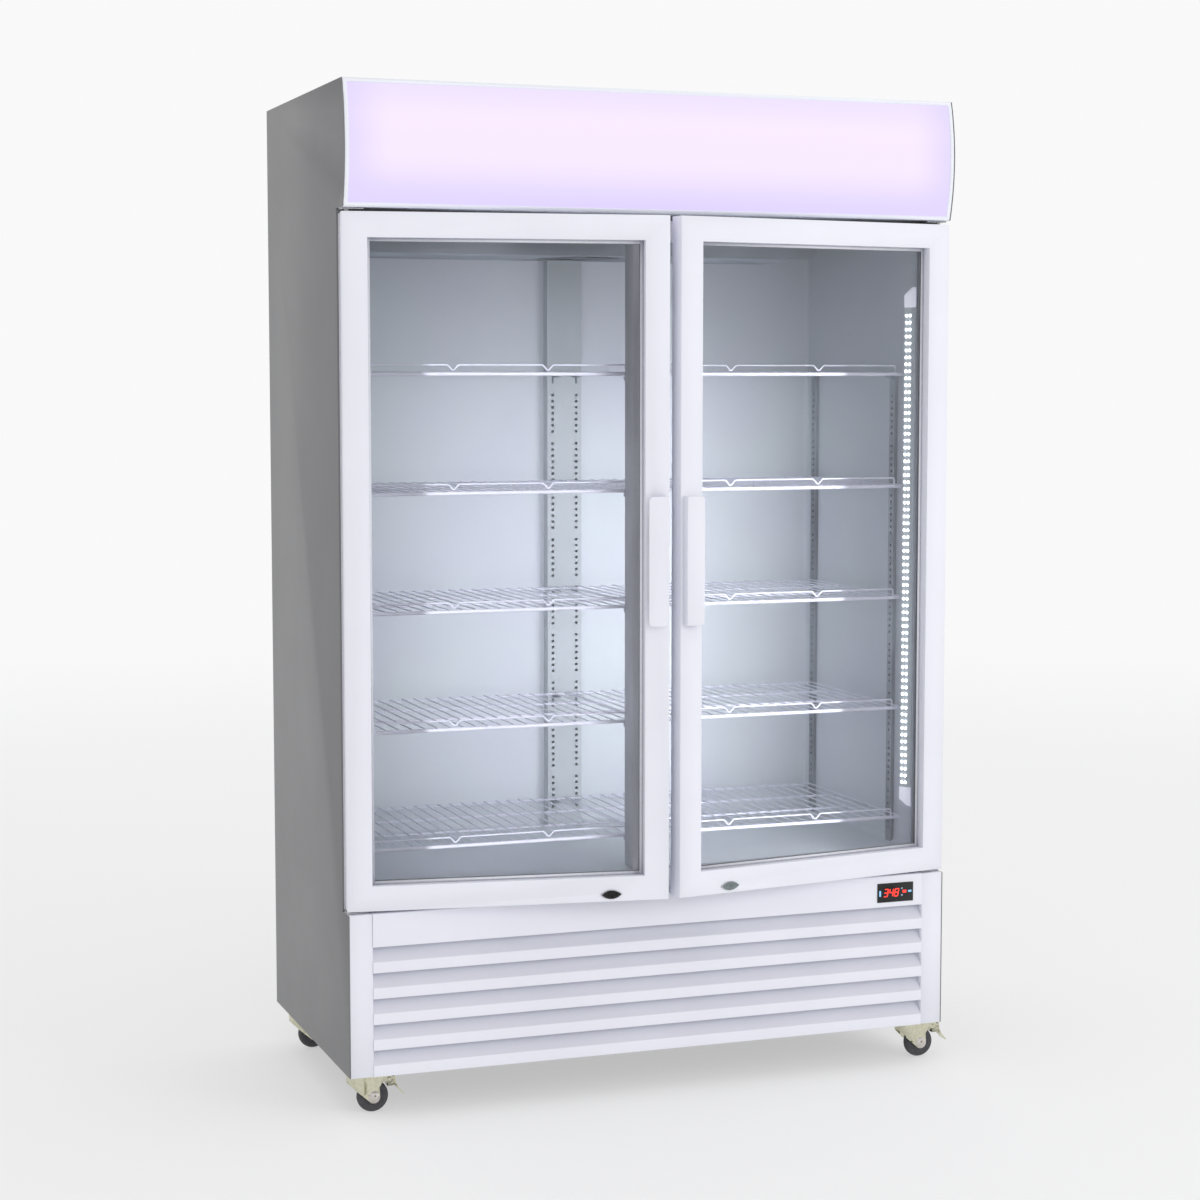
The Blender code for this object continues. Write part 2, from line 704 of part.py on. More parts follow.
def fan(name, location, axis, parent_name):
    """Blades on a hub, turning on a shaft along the axis."""
    pivot = empty(parent_name, location)
    if axis == "Y":
        pivot.rotation_euler = (math.radians(-90), 0, 0)
    half = FAN_DEPTH / 2
    hub = cylinder(name, FAN_HUB, -half, half, sides=24)
    for i in range(FAN_BLADES):
        wide, thin = BLADE[0] / 2, BLADE[1] / 2
        blade = box(f"{name}_blade_{i}", (FAN_HUB - 0.004, FAN_RADIUS), (-wide, wide), (-thin, thin))
        tilt = Matrix.Rotation(math.radians(BLADE_TILT), 4, "X")
        blade.data.transform(Matrix.Rotation(2 * math.pi * i / FAN_BLADES, 4, "Z") @ tilt)
        join(hub, blade)
    cut(hub, cylinder(name + "_bore", FAN_SHAFT + FIT, -0.1, 0.1, sides=16))
    made = settle(hub)
    return piece(made, "black_plastic", pivot)


def condenser_coil():
    x, front = condenser_place()
    wide, deep, high = CONDENSER
    across = (x - wide / 2, x + wide / 2)
    up = (PAN_TOP + FIT, PAN_TOP + high)
    piece(box("condenser_coil", across, (front, front + deep), up), "copper_fins")


def compressor():
    """A domed can on a flange."""
    radius, height = COMPRESSOR_RADIUS, COMPRESSOR_HEIGHT
    dome = []
    for angle in range(0, 91, 15):
        drop = COMPRESSOR_DOME * (1 - math.cos(math.radians(angle)))
        dome.append((radius * math.sin(math.radians(angle)), height - drop))
    wide, high = COMPRESSOR_FLANGE
    profile = [*dome, (radius, high * 1.3), (radius + wide, high), (radius + wide, 0), (0, 0)]
    can = turned("compressor", profile)
    can.location = (INNER_X - COMPRESSOR_SIDE, REAR_Y - COMPRESSOR_BACK, PAN_TOP + FIT)
    piece(can, "black_steel", smooth=True)


# ---- Evaporator ----


def tray_outline(inset, high):
    """(X, Z) of the cover with its rounded lower corners, moved in by inset, up to a height."""
    half = INNER_X - COVER_SIDE - inset
    radius = COVER_CORNER - inset
    middle = (half - radius, COVER_LOW + COVER_CORNER)
    left = arc((-middle[0], middle[1]), radius, 180, 270, 5)
    right = arc(middle, radius, 270, 360, 5)
    return [(-half, high), *left, *right, (half, high)]


def evaporator_cover():
    """A tray under the ceiling with a fan opening, crossed by the bar that holds the motor."""
    low, wall = COVER_LOW, COVER_WALL
    high = BODY_TOP - ROOF - FIT
    y_low, y_high = REAR_Y - COVER_DEPTH, REAR_Y - FIT
    tray = outline("evaporator_cover", tray_outline(0, high), "XZ", y_low, y_high)
    room = outline("evaporator_room", tray_outline(wall, high + 1), "XZ", y_low + wall, y_high - wall)
    middle = (0, (y_low + y_high) / 2, 0)
    opening = FAN_RADIUS + FAN_ROOM
    hole = cylinder("evaporator_hole", opening, low - 0.1, low + 0.1, at=middle, sides=32)
    bar_x = (-opening - BAR_OVERLAP, opening + BAR_OVERLAP)
    bar_y = (middle[1] - BAR_WIDTH / 2, middle[1] + BAR_WIDTH / 2)
    bar = box("evaporator_bar", bar_x, bar_y, (low, low + wall))
    boss_top = low + wall + FAN_GAP
    boss = cylinder("evaporator_boss", FAN_HUB - 0.004, low, boss_top, at=middle, sides=20)
    shaft = cylinder("evaporator_fan_shaft", FAN_SHAFT, low, boss_top + FAN_DEPTH, at=middle, sides=16)
    cut(tray, room, hole)
    piece(join(tray, bar, boss, shaft), "inner_liner")
    return middle[1], boss_top


def evaporator_coil():
    high = BODY_TOP - ROOF - FIT
    wide = INNER_X - COVER_SIDE - COIL_SIDE
    back = REAR_Y - COIL_BACK
    coil_y, coil_z = (back - COIL[0], back), (high - COIL[1], high)
    piece(box("evaporator_coil", (-wide, wide), coil_y, coil_z), "copper_fins")


# ---- Doors ----


def across_door(side, *spans):
    """Spans along X in the hinge pin's frame, from distances off the door's outer edge."""
    return [tuple(sorted(-side * (u - PIN_INSET) for u in span)) for span in spans]


def door_deep(*behind):
    """Y in the hinge pin's frame, from distances behind the door's face."""
    return tuple(y - PIN_DEPTH for y in behind)


def door_frame(side, pin):
    """Four rails around a groove that holds the glass, with the lock's escutcheon on its face."""
    name = f"{SIDE_NAMES[side]}_door_frame"
    whole, opening, groove = across_door(
        side, (0, DOOR_WIDTH), (DOOR_RAIL, DOOR_WIDTH - DOOR_RAIL),
        (DOOR_RAIL - GLASS_BITE, DOOR_WIDTH - DOOR_RAIL + GLASS_BITE),
    )
    rails = box(name, whole, door_deep(0, DOOR_DEPTH), (DOOR_LOW, DOOR_HIGH))
    window = box(name + "_opening", opening, (-0.1, 0.1), (DOOR_LOW + DOOR_RAIL, DOOR_HIGH - DOOR_RAIL))
    bite = DOOR_RAIL - GLASS_BITE
    slot_y = door_deep(GLASS_RECESS - FIT, GLASS_RECESS + GLASS + FIT)
    slot = box(name + "_groove", groove, slot_y, (DOOR_LOW + bite, DOOR_HIGH - bite))
    cut(rails, window, slot)
    for end, low, high in (("low", -0.01, PIN_BITE), ("high", -PIN_BITE, 0.01)):
        edge = DOOR_LOW if end == "low" else DOOR_HIGH
        hole = cylinder(f"{name}_{end}_pin_hole", PIN_RADIUS + FIT, edge + low, edge + high, sides=20)
        cut(rails, hole)
    join(rails, escutcheon(side, name))
    at, lock_z = lock_place(side)
    hole_y = door_deep(-0.01, LOCK_DEPTH)
    cut(rails, cylinder(name + "_lock_hole", LOCK_RADIUS + FIT, *hole_y, "Y", (at, 0, lock_z), 20))
    piece(rails, "white_paint", pin)


def lock_place(side):
    """X in the hinge pin's frame, and Z, of the lock's middle."""
    u = DOOR_WIDTH - LOCK_EDGE
    return -side * (u - PIN_INSET), DOOR_LOW + LOCK_RISE


def escutcheon(side, name):
    """A leaf of two arcs on the door's lower rail, around the lock."""
    at, lock_z = lock_place(side)
    length, height, proud = ESCUTCHEON
    radius = ((length / 2) ** 2 + (height / 2) ** 2) / height
    turn = math.degrees(math.asin(length / 2 / radius))
    upper = arc((at, lock_z + height / 2 - radius), radius, 90 - turn, 90 + turn, 8)
    lower = arc((at, lock_z - height / 2 + radius), radius, 270 - turn, 270 + turn, 8)
    points = [*upper[:-1], *lower[:-1]]
    return outline(name + "_escutcheon", points, "XZ", *door_deep(-proud, 0.001))


def lock_cylinder(side, pin):
    """The lock's barrel with its keyway, turning in the door's lower rail."""
    at, lock_z = lock_place(side)
    barrel = empty(f"{SIDE_NAMES[side]}_lock_axis", (at, 0, lock_z), pin)
    deep = door_deep(-ESCUTCHEON[2] - 0.001, LOCK_DEPTH - FIT)
    lock = cylinder(f"{SIDE_NAMES[side]}_lock_cylinder", LOCK_RADIUS, *deep, "Y", sides=20)
    wide, high = KEYWAY[0] / 2, KEYWAY[1] / 2
    key = box(lock.name + "_keyway", (-wide, wide), door_deep(-0.01, KEYWAY[2]), (-high, high))
    piece(cut(lock, key), "lock_metal", barrel)


def door_glass(side, pin):
    margin = DOOR_RAIL - GLASS_BITE + FIT
    across = across_door(side, (margin, DOOR_WIDTH - margin))[0]
    deep = door_deep(GLASS_RECESS, GLASS_RECESS + GLASS)
    up = (DOOR_LOW + margin, DOOR_HIGH - margin)
    piece(box(f"{SIDE_NAMES[side]}_door_glass", across, deep, up), "glass", pin)


def door_gasket(side, pin):
    """The seal behind the frame, which meets the cabinet's face when the door is shut."""
    name = f"{SIDE_NAMES[side]}_door_gasket"
    outer, inner = GASKET_INSET, GASKET_INSET + GASKET_WIDTH
    deep = door_deep(DOOR_DEPTH + FIT, FACE_Y - DOOR_FACE_Y - FIT)
    whole, middle = across_door(side, (outer, DOOR_WIDTH - outer), (inner, DOOR_WIDTH - inner))
    ring = box(name, whole, deep, (DOOR_LOW + outer, DOOR_HIGH - outer))
    gap = box(name + "_middle", middle, (-0.1, 0.1), (DOOR_LOW + inner, DOOR_HIGH - inner))
    piece(cut(ring, gap), "grey_seal", pin)


def door_handle(side, pin):
    """A plate that stands off the door on a wall along the free edge, open towards the glass."""
    name = f"{SIDE_NAMES[side]}_door_handle"
    outer = DOOR_WIDTH - HANDLE_INSET
    inner = outer - HANDLE_WIDTH
    wall = across_door(side, (outer - HANDLE_WALL, outer))[0]
    low = DOOR_MIDDLE - HANDLE_HEIGHT / 2
    high = low + HANDLE_HEIGHT
    round_x = -side * (inner - PIN_INSET + HANDLE_CORNER)
    free_x = -side * (outer - PIN_INSET)
    start = 180 if side == LEFT else 0
    turn = 90 * side
    lower = arc((round_x, low + HANDLE_CORNER), HANDLE_CORNER, start, start - turn, 5)
    upper = arc((round_x, high - HANDLE_CORNER), HANDLE_CORNER, start + turn, start, 5)
    points = [(free_x, high), *upper, *lower, (free_x, low)]
    plate = outline(name, points, "XZ", *door_deep(-HANDLE_PROUD, HANDLE_PLATE - HANDLE_PROUD))
    web = box(name + "_wall", wall, door_deep(-HANDLE_PROUD + HANDLE_PLATE / 2, -FIT), (low, high))
    piece(join(plate, web), "white_paint", pin)


def pin_place(side):
    return side * (WIDTH / 2 - DOOR_SIDE_GAP - PIN_INSET), DOOR_FACE_Y + PIN_DEPTH


def door(side):
    """One door on its hinge pins, swung open by the angle at which it stands ajar."""
    pin = empty(f"{SIDE_NAMES[side]}_door_hinge_axis", (*pin_place(side), 0))
    door_frame(side, pin)
    door_glass(side, pin)
    door_gasket(side, pin)
    door_handle(side, pin)
    lock_cylinder(side, pin)
    pin.rotation_euler = (0, 0, side * math.radians(AJAR_DEGREES))


def hinges(side):
    """The plates above and below a door, each with the pin that the door turns on."""
    x, y = pin_place(side)
    across = sorted((x + side * PIN_INSET, side * (INNER_X - HINGE_LAP)))
    deep = (y - PIN_INSET, FACE_Y - FIT)
    half = HINGE_PLATE / 2
    top = (CANOPY_LOW - FIT - HINGE_PLATE, (DOOR_HIGH - PIN_BITE + FIT, CANOPY_LOW - half))
    bottom = (BASE_TOP + FIT, (BASE_TOP + half, DOOR_LOW + PIN_BITE - FIT))
    for where, (low, pin_span) in (("top", top), ("bottom", bottom)):
        name = f"{SIDE_NAMES[side]}_{where}_hinge"
        plate = box(name, across, deep, (low, low + HINGE_PLATE))
        rod = cylinder(name + "_pin", PIN_RADIUS, *pin_span, at=(x, y, 0), sides=20)
        piece(join(plate, rod), "lock_metal")


# ---- Casters ----


def pedal_place():
    """(X, Z) of the pedal's pin from the swivel axis, a little off the wheel's tread."""
    reach, turn = WHEEL_RADIUS + PEDAL_REACH, math.radians(PEDAL_ANGLE)
    return TRAIL + reach * math.cos(turn), WHEEL_RADIUS + reach * math.sin(turn)


def fork_outline(with_brake):
    """(X, Z) of a fork's cheek: from the drum down to the axle, and out to the pedal's pin."""
    top = BODY_LOW - FIT
    x, z = TRAIL, WHEEL_RADIUS
    back = [(-CHEEK_BACK, top), (-CHEEK_BACK, z + CHEEK_ELBOW)]
    points = [*back, *arc((x, z), HUB_RADIUS, 215, 360, 6), (x + 0.0115, z + 0.0185)]
    if not with_brake:
        return [*points, (x + 0.010, z + 0.0345), (x - 0.002, top)]
    x, z = pedal_place()
    around_pin = arc((x, z), PEDAL_BOSS + 0.0005, 270, 360, 4)
    return [*points, (x - 0.0125, z - 0.0045), *around_pin, (x + 0.004, top - 0.004), (x - 0.006, top)]


def caster_fork(name, axis, with_brake):
    """A drum that turns on its king pin, with two cheeks that carry the axle."""
    top = BODY_LOW - FIT
    hub = (TRAIL, 0, WHEEL_RADIUS)
    half = FORK_WIDTH / 2
    fork = cylinder(name, DRUM_RADIUS, WHEEL_RADIUS, top, sides=32)
    join(fork, outline(name + "_cheeks", fork_outline(with_brake), "XZ", -half, half))
    slope = box(name + "_slope", (-0.1, 0.1), (-0.1, 0.1), (-0.1, 0))
    edge = Matrix.Translation((-DRUM_RADIUS, 0, WHEEL_RADIUS + DRUM_EDGE))
    slope.data.transform(edge @ Matrix.Rotation(math.radians(DRUM_SLOPE), 4, "Y"))
    keep_x = (TRAIL - HUB_RADIUS - 0.002, 0.1)
    keep = box(name + "_keep", keep_x, (-half - 0.001, half + 0.001), (0, WHEEL_RADIUS + DRUM_EDGE))
    cut(fork, settle(cut(slope, keep)))
    flat = WHEEL_RADIUS + DRUM_FLAT
    behind = box(name + "_behind", (0, 0.1), (half, 0.1), (-0.1, flat))
    before = box(name + "_before", (0, 0.1), (-0.1, -half), (-0.1, flat))
    room = WHEEL_WIDTH / 2 + WHEEL_SIDE_ROOM
    hollow = cylinder(name + "_room", WHEEL_RADIUS + WHEEL_ROOM, -room, room, "Y", hub, 32)
    lower = box(name + "_lower", (-0.1, 0.1), (-room, room), (-0.1, WHEEL_RADIUS))
    cut(fork, behind, before, hollow, lower)
    if with_brake:
        x, z = pedal_place()
        cut(fork, box(name + "_gap", (TRAIL + HUB_RADIUS, 0.1), (-room, room), (-0.1, top - 0.004)))
        pin = (-half - 0.001, half + 0.001)
        join(fork, cylinder(name + "_pedal_pin", PEDAL_PIN, *pin, "Y", (x, 0, z), 14))
    axle = cylinder(name + "_axle", AXLE_RADIUS, -half - 0.001, half + 0.001, "Y", hub, 16)
    reach = half + AXLE_HEAD[1]
    near = cylinder(name + "_near_head", AXLE_HEAD[0], -reach, -half + 0.001, "Y", hub, 6)
    far = cylinder(name + "_far_head", AXLE_HEAD[0], half - 0.001, reach, "Y", hub, 6)
    king = cylinder(name + "_king_pin", KING_PIN, top - 0.008, PAN_TOP - 0.001, sides=20)
    piece(join(fork, axle, near, far, king), "zinc", axis)


def caster_wheel(name, axis):
    """A rubber tyre with a stepped side, turning on the fork's axle."""
    pivot = empty(name + "_axis", (TRAIL, 0, WHEEL_RADIUS), axis)
    half, radius = WHEEL_WIDTH / 2, WHEEL_RADIUS
    bore = AXLE_RADIUS + FIT
    profile = [
        (bore, half), (0.011, half), (0.013, half - 0.002), (0.019, half - 0.002), (0.021, half - 0.001),
        (radius - 0.006, half - 0.001), (radius - 0.002, half - 0.004), (radius, half - 0.008),
    ]
    profile += [(r, -z) for r, z in reversed(profile)]
    wheel = turned(name, profile)
    wheel.rotation_euler = (math.radians(90), 0, 0)
    piece(settle(wheel), "rubber", pivot, smooth=True)


def brake_pedal(name, axis):
    """A bent lever on its pin: the outer end is the tread, the inner end presses on the wheel."""
    x, z = pedal_place()
    pivot = empty(name + "_axis", (x, 0, z), axis)
    half = WHEEL_WIDTH / 2 + WHEEL_SIDE_ROOM - FIT
    sheet = PEDAL_SHEET
    route = [(0.0085, 0.013), (0.0115, 0.003), (0.0125, -0.010), (0.0180, -0.022), (0.0290, -0.034)]
    outer = [(px + sheet, pz + sheet * 0.5) for px, pz in route]
    lever = outline(name, [*route, *reversed(outer)], "XZ", -half, half)
    boss = cylinder(name + "_boss", PEDAL_BOSS, -half, half, "Y", sides=18)
    web = box(name + "_web", (0, 0.0125), (-half, half), (-0.002, 0.003))
    shoe_in, shoe_down = PEDAL_SHOE
    shoe_y = (-half + 0.002, half - 0.002)
    shoe = box(name + "_shoe", (-shoe_in, 0.013), shoe_y, (-shoe_down, -0.003))
    bore = cylinder(name + "_bore", PEDAL_PIN + FIT, -0.1, 0.1, "Y", sides=14)
    piece(settle(cut(join(lever, boss, web, shoe), bore)), "zinc", pivot)


def casters():
    for name, x, y in caster_places():
        axis = empty(f"{name}_swivel_axis", (x, y, 0))
        front = name.startswith("front")
        caster_fork(f"{name}_caster_fork", axis, front)
        caster_wheel(f"{name}_caster_wheel", axis)
        if front:
            brake_pedal(f"{name}_brake_pedal", axis)


# ---- The whole ----


def centre_on_floor():
    """Moves the whole so that the middle of its footprint is at X 0, Y 0."""
    bpy.context.view_layer.update()
    graph = bpy.context.evaluated_depsgraph_get()
    corners = []
    for made in PARTS.objects:
        if made.type != "MESH":
            continue
        evaluated = made.evaluated_get(graph)
        mesh = evaluated.to_mesh()
        corners += [evaluated.matrix_world @ vertex.co for vertex in mesh.vertices]
        evaluated.to_mesh_clear()
    middle = [(min(c[i] for c in corners) + max(c[i] for c in corners)) / 2 for i in (0, 1)]
    ROOT.location = (-middle[0], -middle[1], 0)


def cabinet():
    for side in (LEFT, RIGHT):
        side_panel(side)
        wall_standard(side, "front", SHELF_FRONT_Y + FRONT_STANDARD)
        wall_standard(side, "rear", SHELF_BACK_Y - REAR_STANDARD)
        led_strip(side)
    rear_wall()
    top_panel()
    cabinet_floor()
    center_mullion()
    rear_pilaster()
    shelves()


def cooling():
    fan_y, boss_top = evaporator_cover()
    evaporator_coil()
    fan_z = boss_top + FIT + FAN_DEPTH / 2
    fan("evaporator_fan", (0, fan_y, fan_z), "Z", "evaporator_fan_axis")
    condenser_coil()
    compressor()
    fan("condenser_fan", condenser_fan_place(), "Y", "condenser_fan_axis")


clear_scene()
PARTS = new_collection("glass_door_merchandiser")
CUTTERS = new_collection("cutters")
ROOT = bpy.data.objects.new("merchandiser", None)
PARTS.objects.link(ROOT)
cabinet()
canopy_housing()
canopy_diffuser()
canopy_light_tube()
base_frame()
louvre_panel()
controller()
base_pan()
cooling()
for door_side in (LEFT, RIGHT):
    door(door_side)
    hinges(door_side)
casters()
centre_on_floor()
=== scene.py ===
# %% [markdown]
# # A two-door glass merchandiser
# The object is an upright display refrigerator: painted steel outside, a pale liner inside, two
# glazed doors that stand ajar, a lit canopy, wire shelves, a louvred base and four casters.
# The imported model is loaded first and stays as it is. Every finished piece takes its place from it,
# so nothing here repeats an overall size.

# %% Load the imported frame
import json
import math

import bmesh
import bpy
from mathutils import Matrix, Vector


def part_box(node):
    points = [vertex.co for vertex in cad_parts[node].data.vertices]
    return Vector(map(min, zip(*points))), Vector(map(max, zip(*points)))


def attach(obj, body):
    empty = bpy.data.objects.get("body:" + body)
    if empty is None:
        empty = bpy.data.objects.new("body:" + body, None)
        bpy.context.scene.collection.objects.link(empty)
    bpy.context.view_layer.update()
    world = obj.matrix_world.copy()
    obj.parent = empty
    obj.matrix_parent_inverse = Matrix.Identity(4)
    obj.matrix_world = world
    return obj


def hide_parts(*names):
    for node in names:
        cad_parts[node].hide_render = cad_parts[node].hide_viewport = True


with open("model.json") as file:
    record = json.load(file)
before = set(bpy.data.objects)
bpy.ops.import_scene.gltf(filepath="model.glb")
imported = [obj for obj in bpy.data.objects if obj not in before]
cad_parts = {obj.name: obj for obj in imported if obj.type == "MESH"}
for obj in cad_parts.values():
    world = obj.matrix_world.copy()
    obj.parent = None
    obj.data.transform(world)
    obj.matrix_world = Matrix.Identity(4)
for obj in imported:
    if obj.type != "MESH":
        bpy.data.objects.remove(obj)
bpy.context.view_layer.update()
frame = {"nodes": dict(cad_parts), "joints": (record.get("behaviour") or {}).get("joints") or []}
nodes = frame["nodes"]
joints = {joint["name"]: joint for joint in frame["joints"]}
SIDES = {"left": -1, "right": 1}

# %% [markdown]
# ## Where the cabinet's planes are
# The cabinet is symmetric, but the brake pedal on the right makes the whole box lopsided. So the
# middle comes from the two side walls, and the other planes come from the piece that owns each.

# %% Planes of the cabinet
MIDDLE = (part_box("left_side_panel")[0].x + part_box("right_side_panel")[1].x) / 2
HALF = (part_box("right_side_panel")[1].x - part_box("left_side_panel")[0].x) / 2
INNER = (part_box("rear_wall")[1].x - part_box("rear_wall")[0].x) / 2
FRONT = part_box("base_frame")[0].y
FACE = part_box("cabinet_floor")[0].y
REAR, BACK = (corner.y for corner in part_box("rear_wall"))
BODY_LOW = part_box("base_frame")[0].z
BODY_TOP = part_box("top_panel")[1].z
FLOOR_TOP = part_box("cabinet_floor")[1].z
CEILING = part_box("evaporator_cover")[1].z
HEADER_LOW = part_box("top_panel")[0].z
print("inner half width", round(INNER, 4), "floor", round(FLOOR_TOP, 4), "ceiling", round(CEILING, 4))

# %% [markdown]
# ## The camera
# A long lens from the front left, a little above half height and looking slightly down. Its place
# is counted from the middle of the base's front edge on the floor, so it follows the cabinet.

# %% Camera
CAMERA_OFFSET = Vector((-1.783, -4.593, 1.4315))
CAMERA_DOWN = math.radians(5.075)
CAMERA_TURN = math.radians(19.862)
lens = bpy.data.cameras.new("camera")
lens.sensor_width = 36
lens.lens = 75.06
camera = bpy.data.objects.new("camera", lens)
camera.location = Vector((MIDDLE, FRONT, 0)) + CAMERA_OFFSET
camera.rotation_euler = (math.radians(90) - CAMERA_DOWN, 0, -CAMERA_TURN)
bpy.context.scene.collection.objects.link(camera)
bpy.context.scene.camera = camera
bpy.context.scene.view_settings.view_transform = "Standard"
print("camera at", tuple(round(v, 3) for v in camera.location))

# %% [markdown]
# ## Building node trees
# Materials and Geometry Nodes are both node trees, so one function adds a node to either. A value
# that is a socket is linked, a list of sockets fills a multi-input, and any other value is set.

# %% One function for every node


def add(tree, kind, inputs=None, **settings):
    made = tree.nodes.new(kind)
    for name, value in settings.items():
        setattr(made, name, value)
    for key, value in (inputs or {}).items():
        sockets = value if isinstance(value, list) else [value]
        for item in sockets:
            if isinstance(item, bpy.types.NodeSocket):
                tree.links.new(item, made.inputs[key])
            else:
                made.inputs[key].default_value = item
    return made


def linear(hex_colour):
    """An sRGB hex colour as linear red, green, blue and alpha."""
    channels = [int(hex_colour[i : i + 2], 16) / 255 for i in (1, 3, 5)]
    return (*[c / 12.92 if c <= 0.04045 else ((c + 0.055) / 1.055) ** 2.4 for c in channels], 1)


# %% [markdown]
# ## A base for the materials
# Almost every surface is one Principled shader. `surface` makes it with its plain values, and hands
# back the tree, the shader and the object coordinates, on which each finish hangs its own pattern.
# Object coordinates are metres here, so a noise scale of 1000 / size gives features of that many
# millimetres.

# %% Shader base


def surface(name, colour, roughness, metallic=0.0, **values):
    made = bpy.data.materials.new(name)
    made.use_nodes = True
    tree = made.node_tree
    shader = tree.nodes["Principled BSDF"]
    shader.inputs["Base Color"].default_value = linear(colour)
    shader.inputs["Roughness"].default_value = roughness
    shader.inputs["Metallic"].default_value = metallic
    for key, value in values.items():
        shader.inputs[key.replace("_", " ").title()].default_value = value
    place = add(tree, "ShaderNodeTexCoord").outputs["Object"]
    return made, tree, shader, place


def grain(tree, place, size_mm, detail=2.0, stretch=(1, 1, 1)):
    """Noise with features of a real size."""
    scaled = add(tree, "ShaderNodeMapping", {"Vector": place, "Scale": stretch}).outputs["Vector"]
    inputs = {"Vector": scaled, "Scale": 1000 / size_mm, "Detail": detail}
    return add(tree, "ShaderNodeTexNoise", inputs).outputs["Fac"]


def spread(tree, fac, low, high):
    """The noise's middle range stretched between two values."""
    inputs = {"Value": fac, "From Min": 0.35, "From Max": 0.65, "To Min": low, "To Max": high}
    return add(tree, "ShaderNodeMapRange", inputs).outputs["Result"]


def tint(tree, fac, first, second):
    """A colour that wanders between two."""
    mix = add(tree, "ShaderNodeMix", {"Factor": fac}, data_type="RGBA")
    mix.inputs[6].default_value = linear(first)
    mix.inputs[7].default_value = linear(second)
    return mix.outputs[2]


def relief(tree, shader, fac, height_mm, strength=1.0):
    """A bump of a real height."""
    inputs = {"Height": fac, "Distance": height_mm / 1000, "Strength": strength}
    tree.links.new(add(tree, "ShaderNodeBump", inputs).outputs["Normal"], shader.inputs["Normal"])


# %% [markdown]
# ## Powder coat
# The door frames, the base and the canopy's bezel are steel and aluminium with a white polyester
# powder coat. Powder melts into a film that keeps a faint orange peel, about 2 mm from crest to
# crest, and the film is a little glossier where it lies thick. The side walls have the same coat in
# mid grey. The peel is drawn at 5 mm, because the real one is too fine to show.

# %% Powder coats


def powder_coat(name, colour, deeper, roughness):
    made, tree, shader, place = surface(name, colour, roughness)
    peel = grain(tree, place, 5)
    cloud = grain(tree, place, 180, 3)
    colour_socket = tint(tree, spread(tree, cloud, 0, 1), colour, deeper)
    tree.links.new(colour_socket, shader.inputs["Base Color"])
    tree.links.new(spread(tree, cloud, roughness - 0.01, roughness + 0.015), shader.inputs["Roughness"])
    relief(tree, shader, peel, 0.03, 0.25)
    return made


white_powder = powder_coat("white_powder_coat", "#ECEDF6", "#E9EAF3", 0.38)
grey_powder = powder_coat("grey_powder_coat", "#7D7D7F", "#7B7B7D", 0.50)
# A darker copy of the white coat for the louvre blades: painted shade, where the lips above shade the recesses.
louvre_painted_shade = powder_coat("thin_powder_coat", "#D6D7E1", "#D2D3DD", 0.42)
bezel_powder = powder_coat("bezel_powder_coat", "#F0F3FB", "#EDF0F8", 0.34)

# %% [markdown]
# ## The liner
# The inside is pre-painted aluminium sheet, pale blue-grey, with the stucco embossing that hides
# scratches: soft pillows about 7 mm across, which a smooth noise gives. The
# slotted standards are the same sheet without embossing, and the wall standards are bare
# galvanised steel, whose spangle is darker in places.

# %% Liner sheets


def stucco_sheet(name, colour, deeper, height_mm):
    made, tree, shader, place = surface(name, colour, 0.42)
    pillows = grain(tree, place, 7, 3)
    cloud = grain(tree, place, 300, 2)
    tree.links.new(tint(tree, spread(tree, cloud, 0, 1), colour, deeper), shader.inputs["Base Color"])
    tree.links.new(spread(tree, pillows, 0.40, 0.52), shader.inputs["Roughness"])
    relief(tree, shader, pillows, height_mm, 0.3)
    return made


liner_sheet = stucco_sheet("stucco_aluminium_liner", "#D9E0E1", "#D7DAE1", 0.03)
pilaster_sheet = stucco_sheet("embossed_pilaster_sheet", "#C6CCCE", "#BCC3C5", 0.25)
standard_steel = stucco_sheet("galvanised_wall_standard", "#BFC6CB", "#858C92", 0.05)
cooler_cover = stucco_sheet("painted_cooler_cover", "#D2D9DE", "#A0A7AE", 0.04)
post_sheet = stucco_sheet("grey_centre_post", "#DCDDE0", "#BBBBBD", 0.03)

# %% [markdown]
# ## Metals
# Zinc plate with a yellow-green passivation covers the caster forks: a metal with a faint cloudy
# spangle. Locks and axle caps are nickel, polished and hard. Hinges and screws are plain bright
# zinc. Coils are bare aluminium fins, and the compressor is stove-enamelled black.

# %% Metal finishes


def plated(name, colour, deeper, roughness, cloud_mm):
    made, tree, shader, place = surface(name, colour, roughness, 1.0)
    cloud = grain(tree, place, cloud_mm, 4)
    tree.links.new(tint(tree, spread(tree, cloud, 0, 1), colour, deeper), shader.inputs["Base Color"])
    tree.links.new(spread(tree, cloud, roughness - 0.06, roughness + 0.08), shader.inputs["Roughness"])
    relief(tree, shader, grain(tree, place, 1.5), 0.02, 0.3)
    return made


zinc_plate = plated("yellow_passivated_zinc", "#D8D6BF", "#CDCBB4", 0.24, 9)
bright_zinc = plated("bright_zinc_plate", "#C9CBCC", "#B4B6B8", 0.28, 5)
nickel = plated("polished_nickel", "#D8D2CC", "#C9C3BC", 0.16, 9)
# The locks' nickel in two painted tones, one metal under different reflections: mid grey for the right lock and near
# black for the left, as painted reflections.
nickel_painted_pale_reflection = plated("satin_nickel", "#8A9494", "#7C8686", 0.32, 6)
black_nickel = plated("black_nickel", "#3A3A3A", "#2C2C2C", 0.25, 6)
fin_aluminium = plated("fin_aluminium", "#C2C6CA", "#AEB3B8", 0.38, 12)
dark_enamel = powder_coat("black_stove_enamel", "#1B1B1C", "#151516", 0.42)

# %% [markdown]
# ## Plastics and rubber
# The shelves are steel wire dipped in white nylon, glossy and slightly waxy. The caster tyres are
# moulded grey rubber with a dry skin. The fans and the controller are black ABS. The door gasket is
# soft grey PVC, and the spacer in the sealed unit is matt grey.

# %% Plastic and rubber finishes


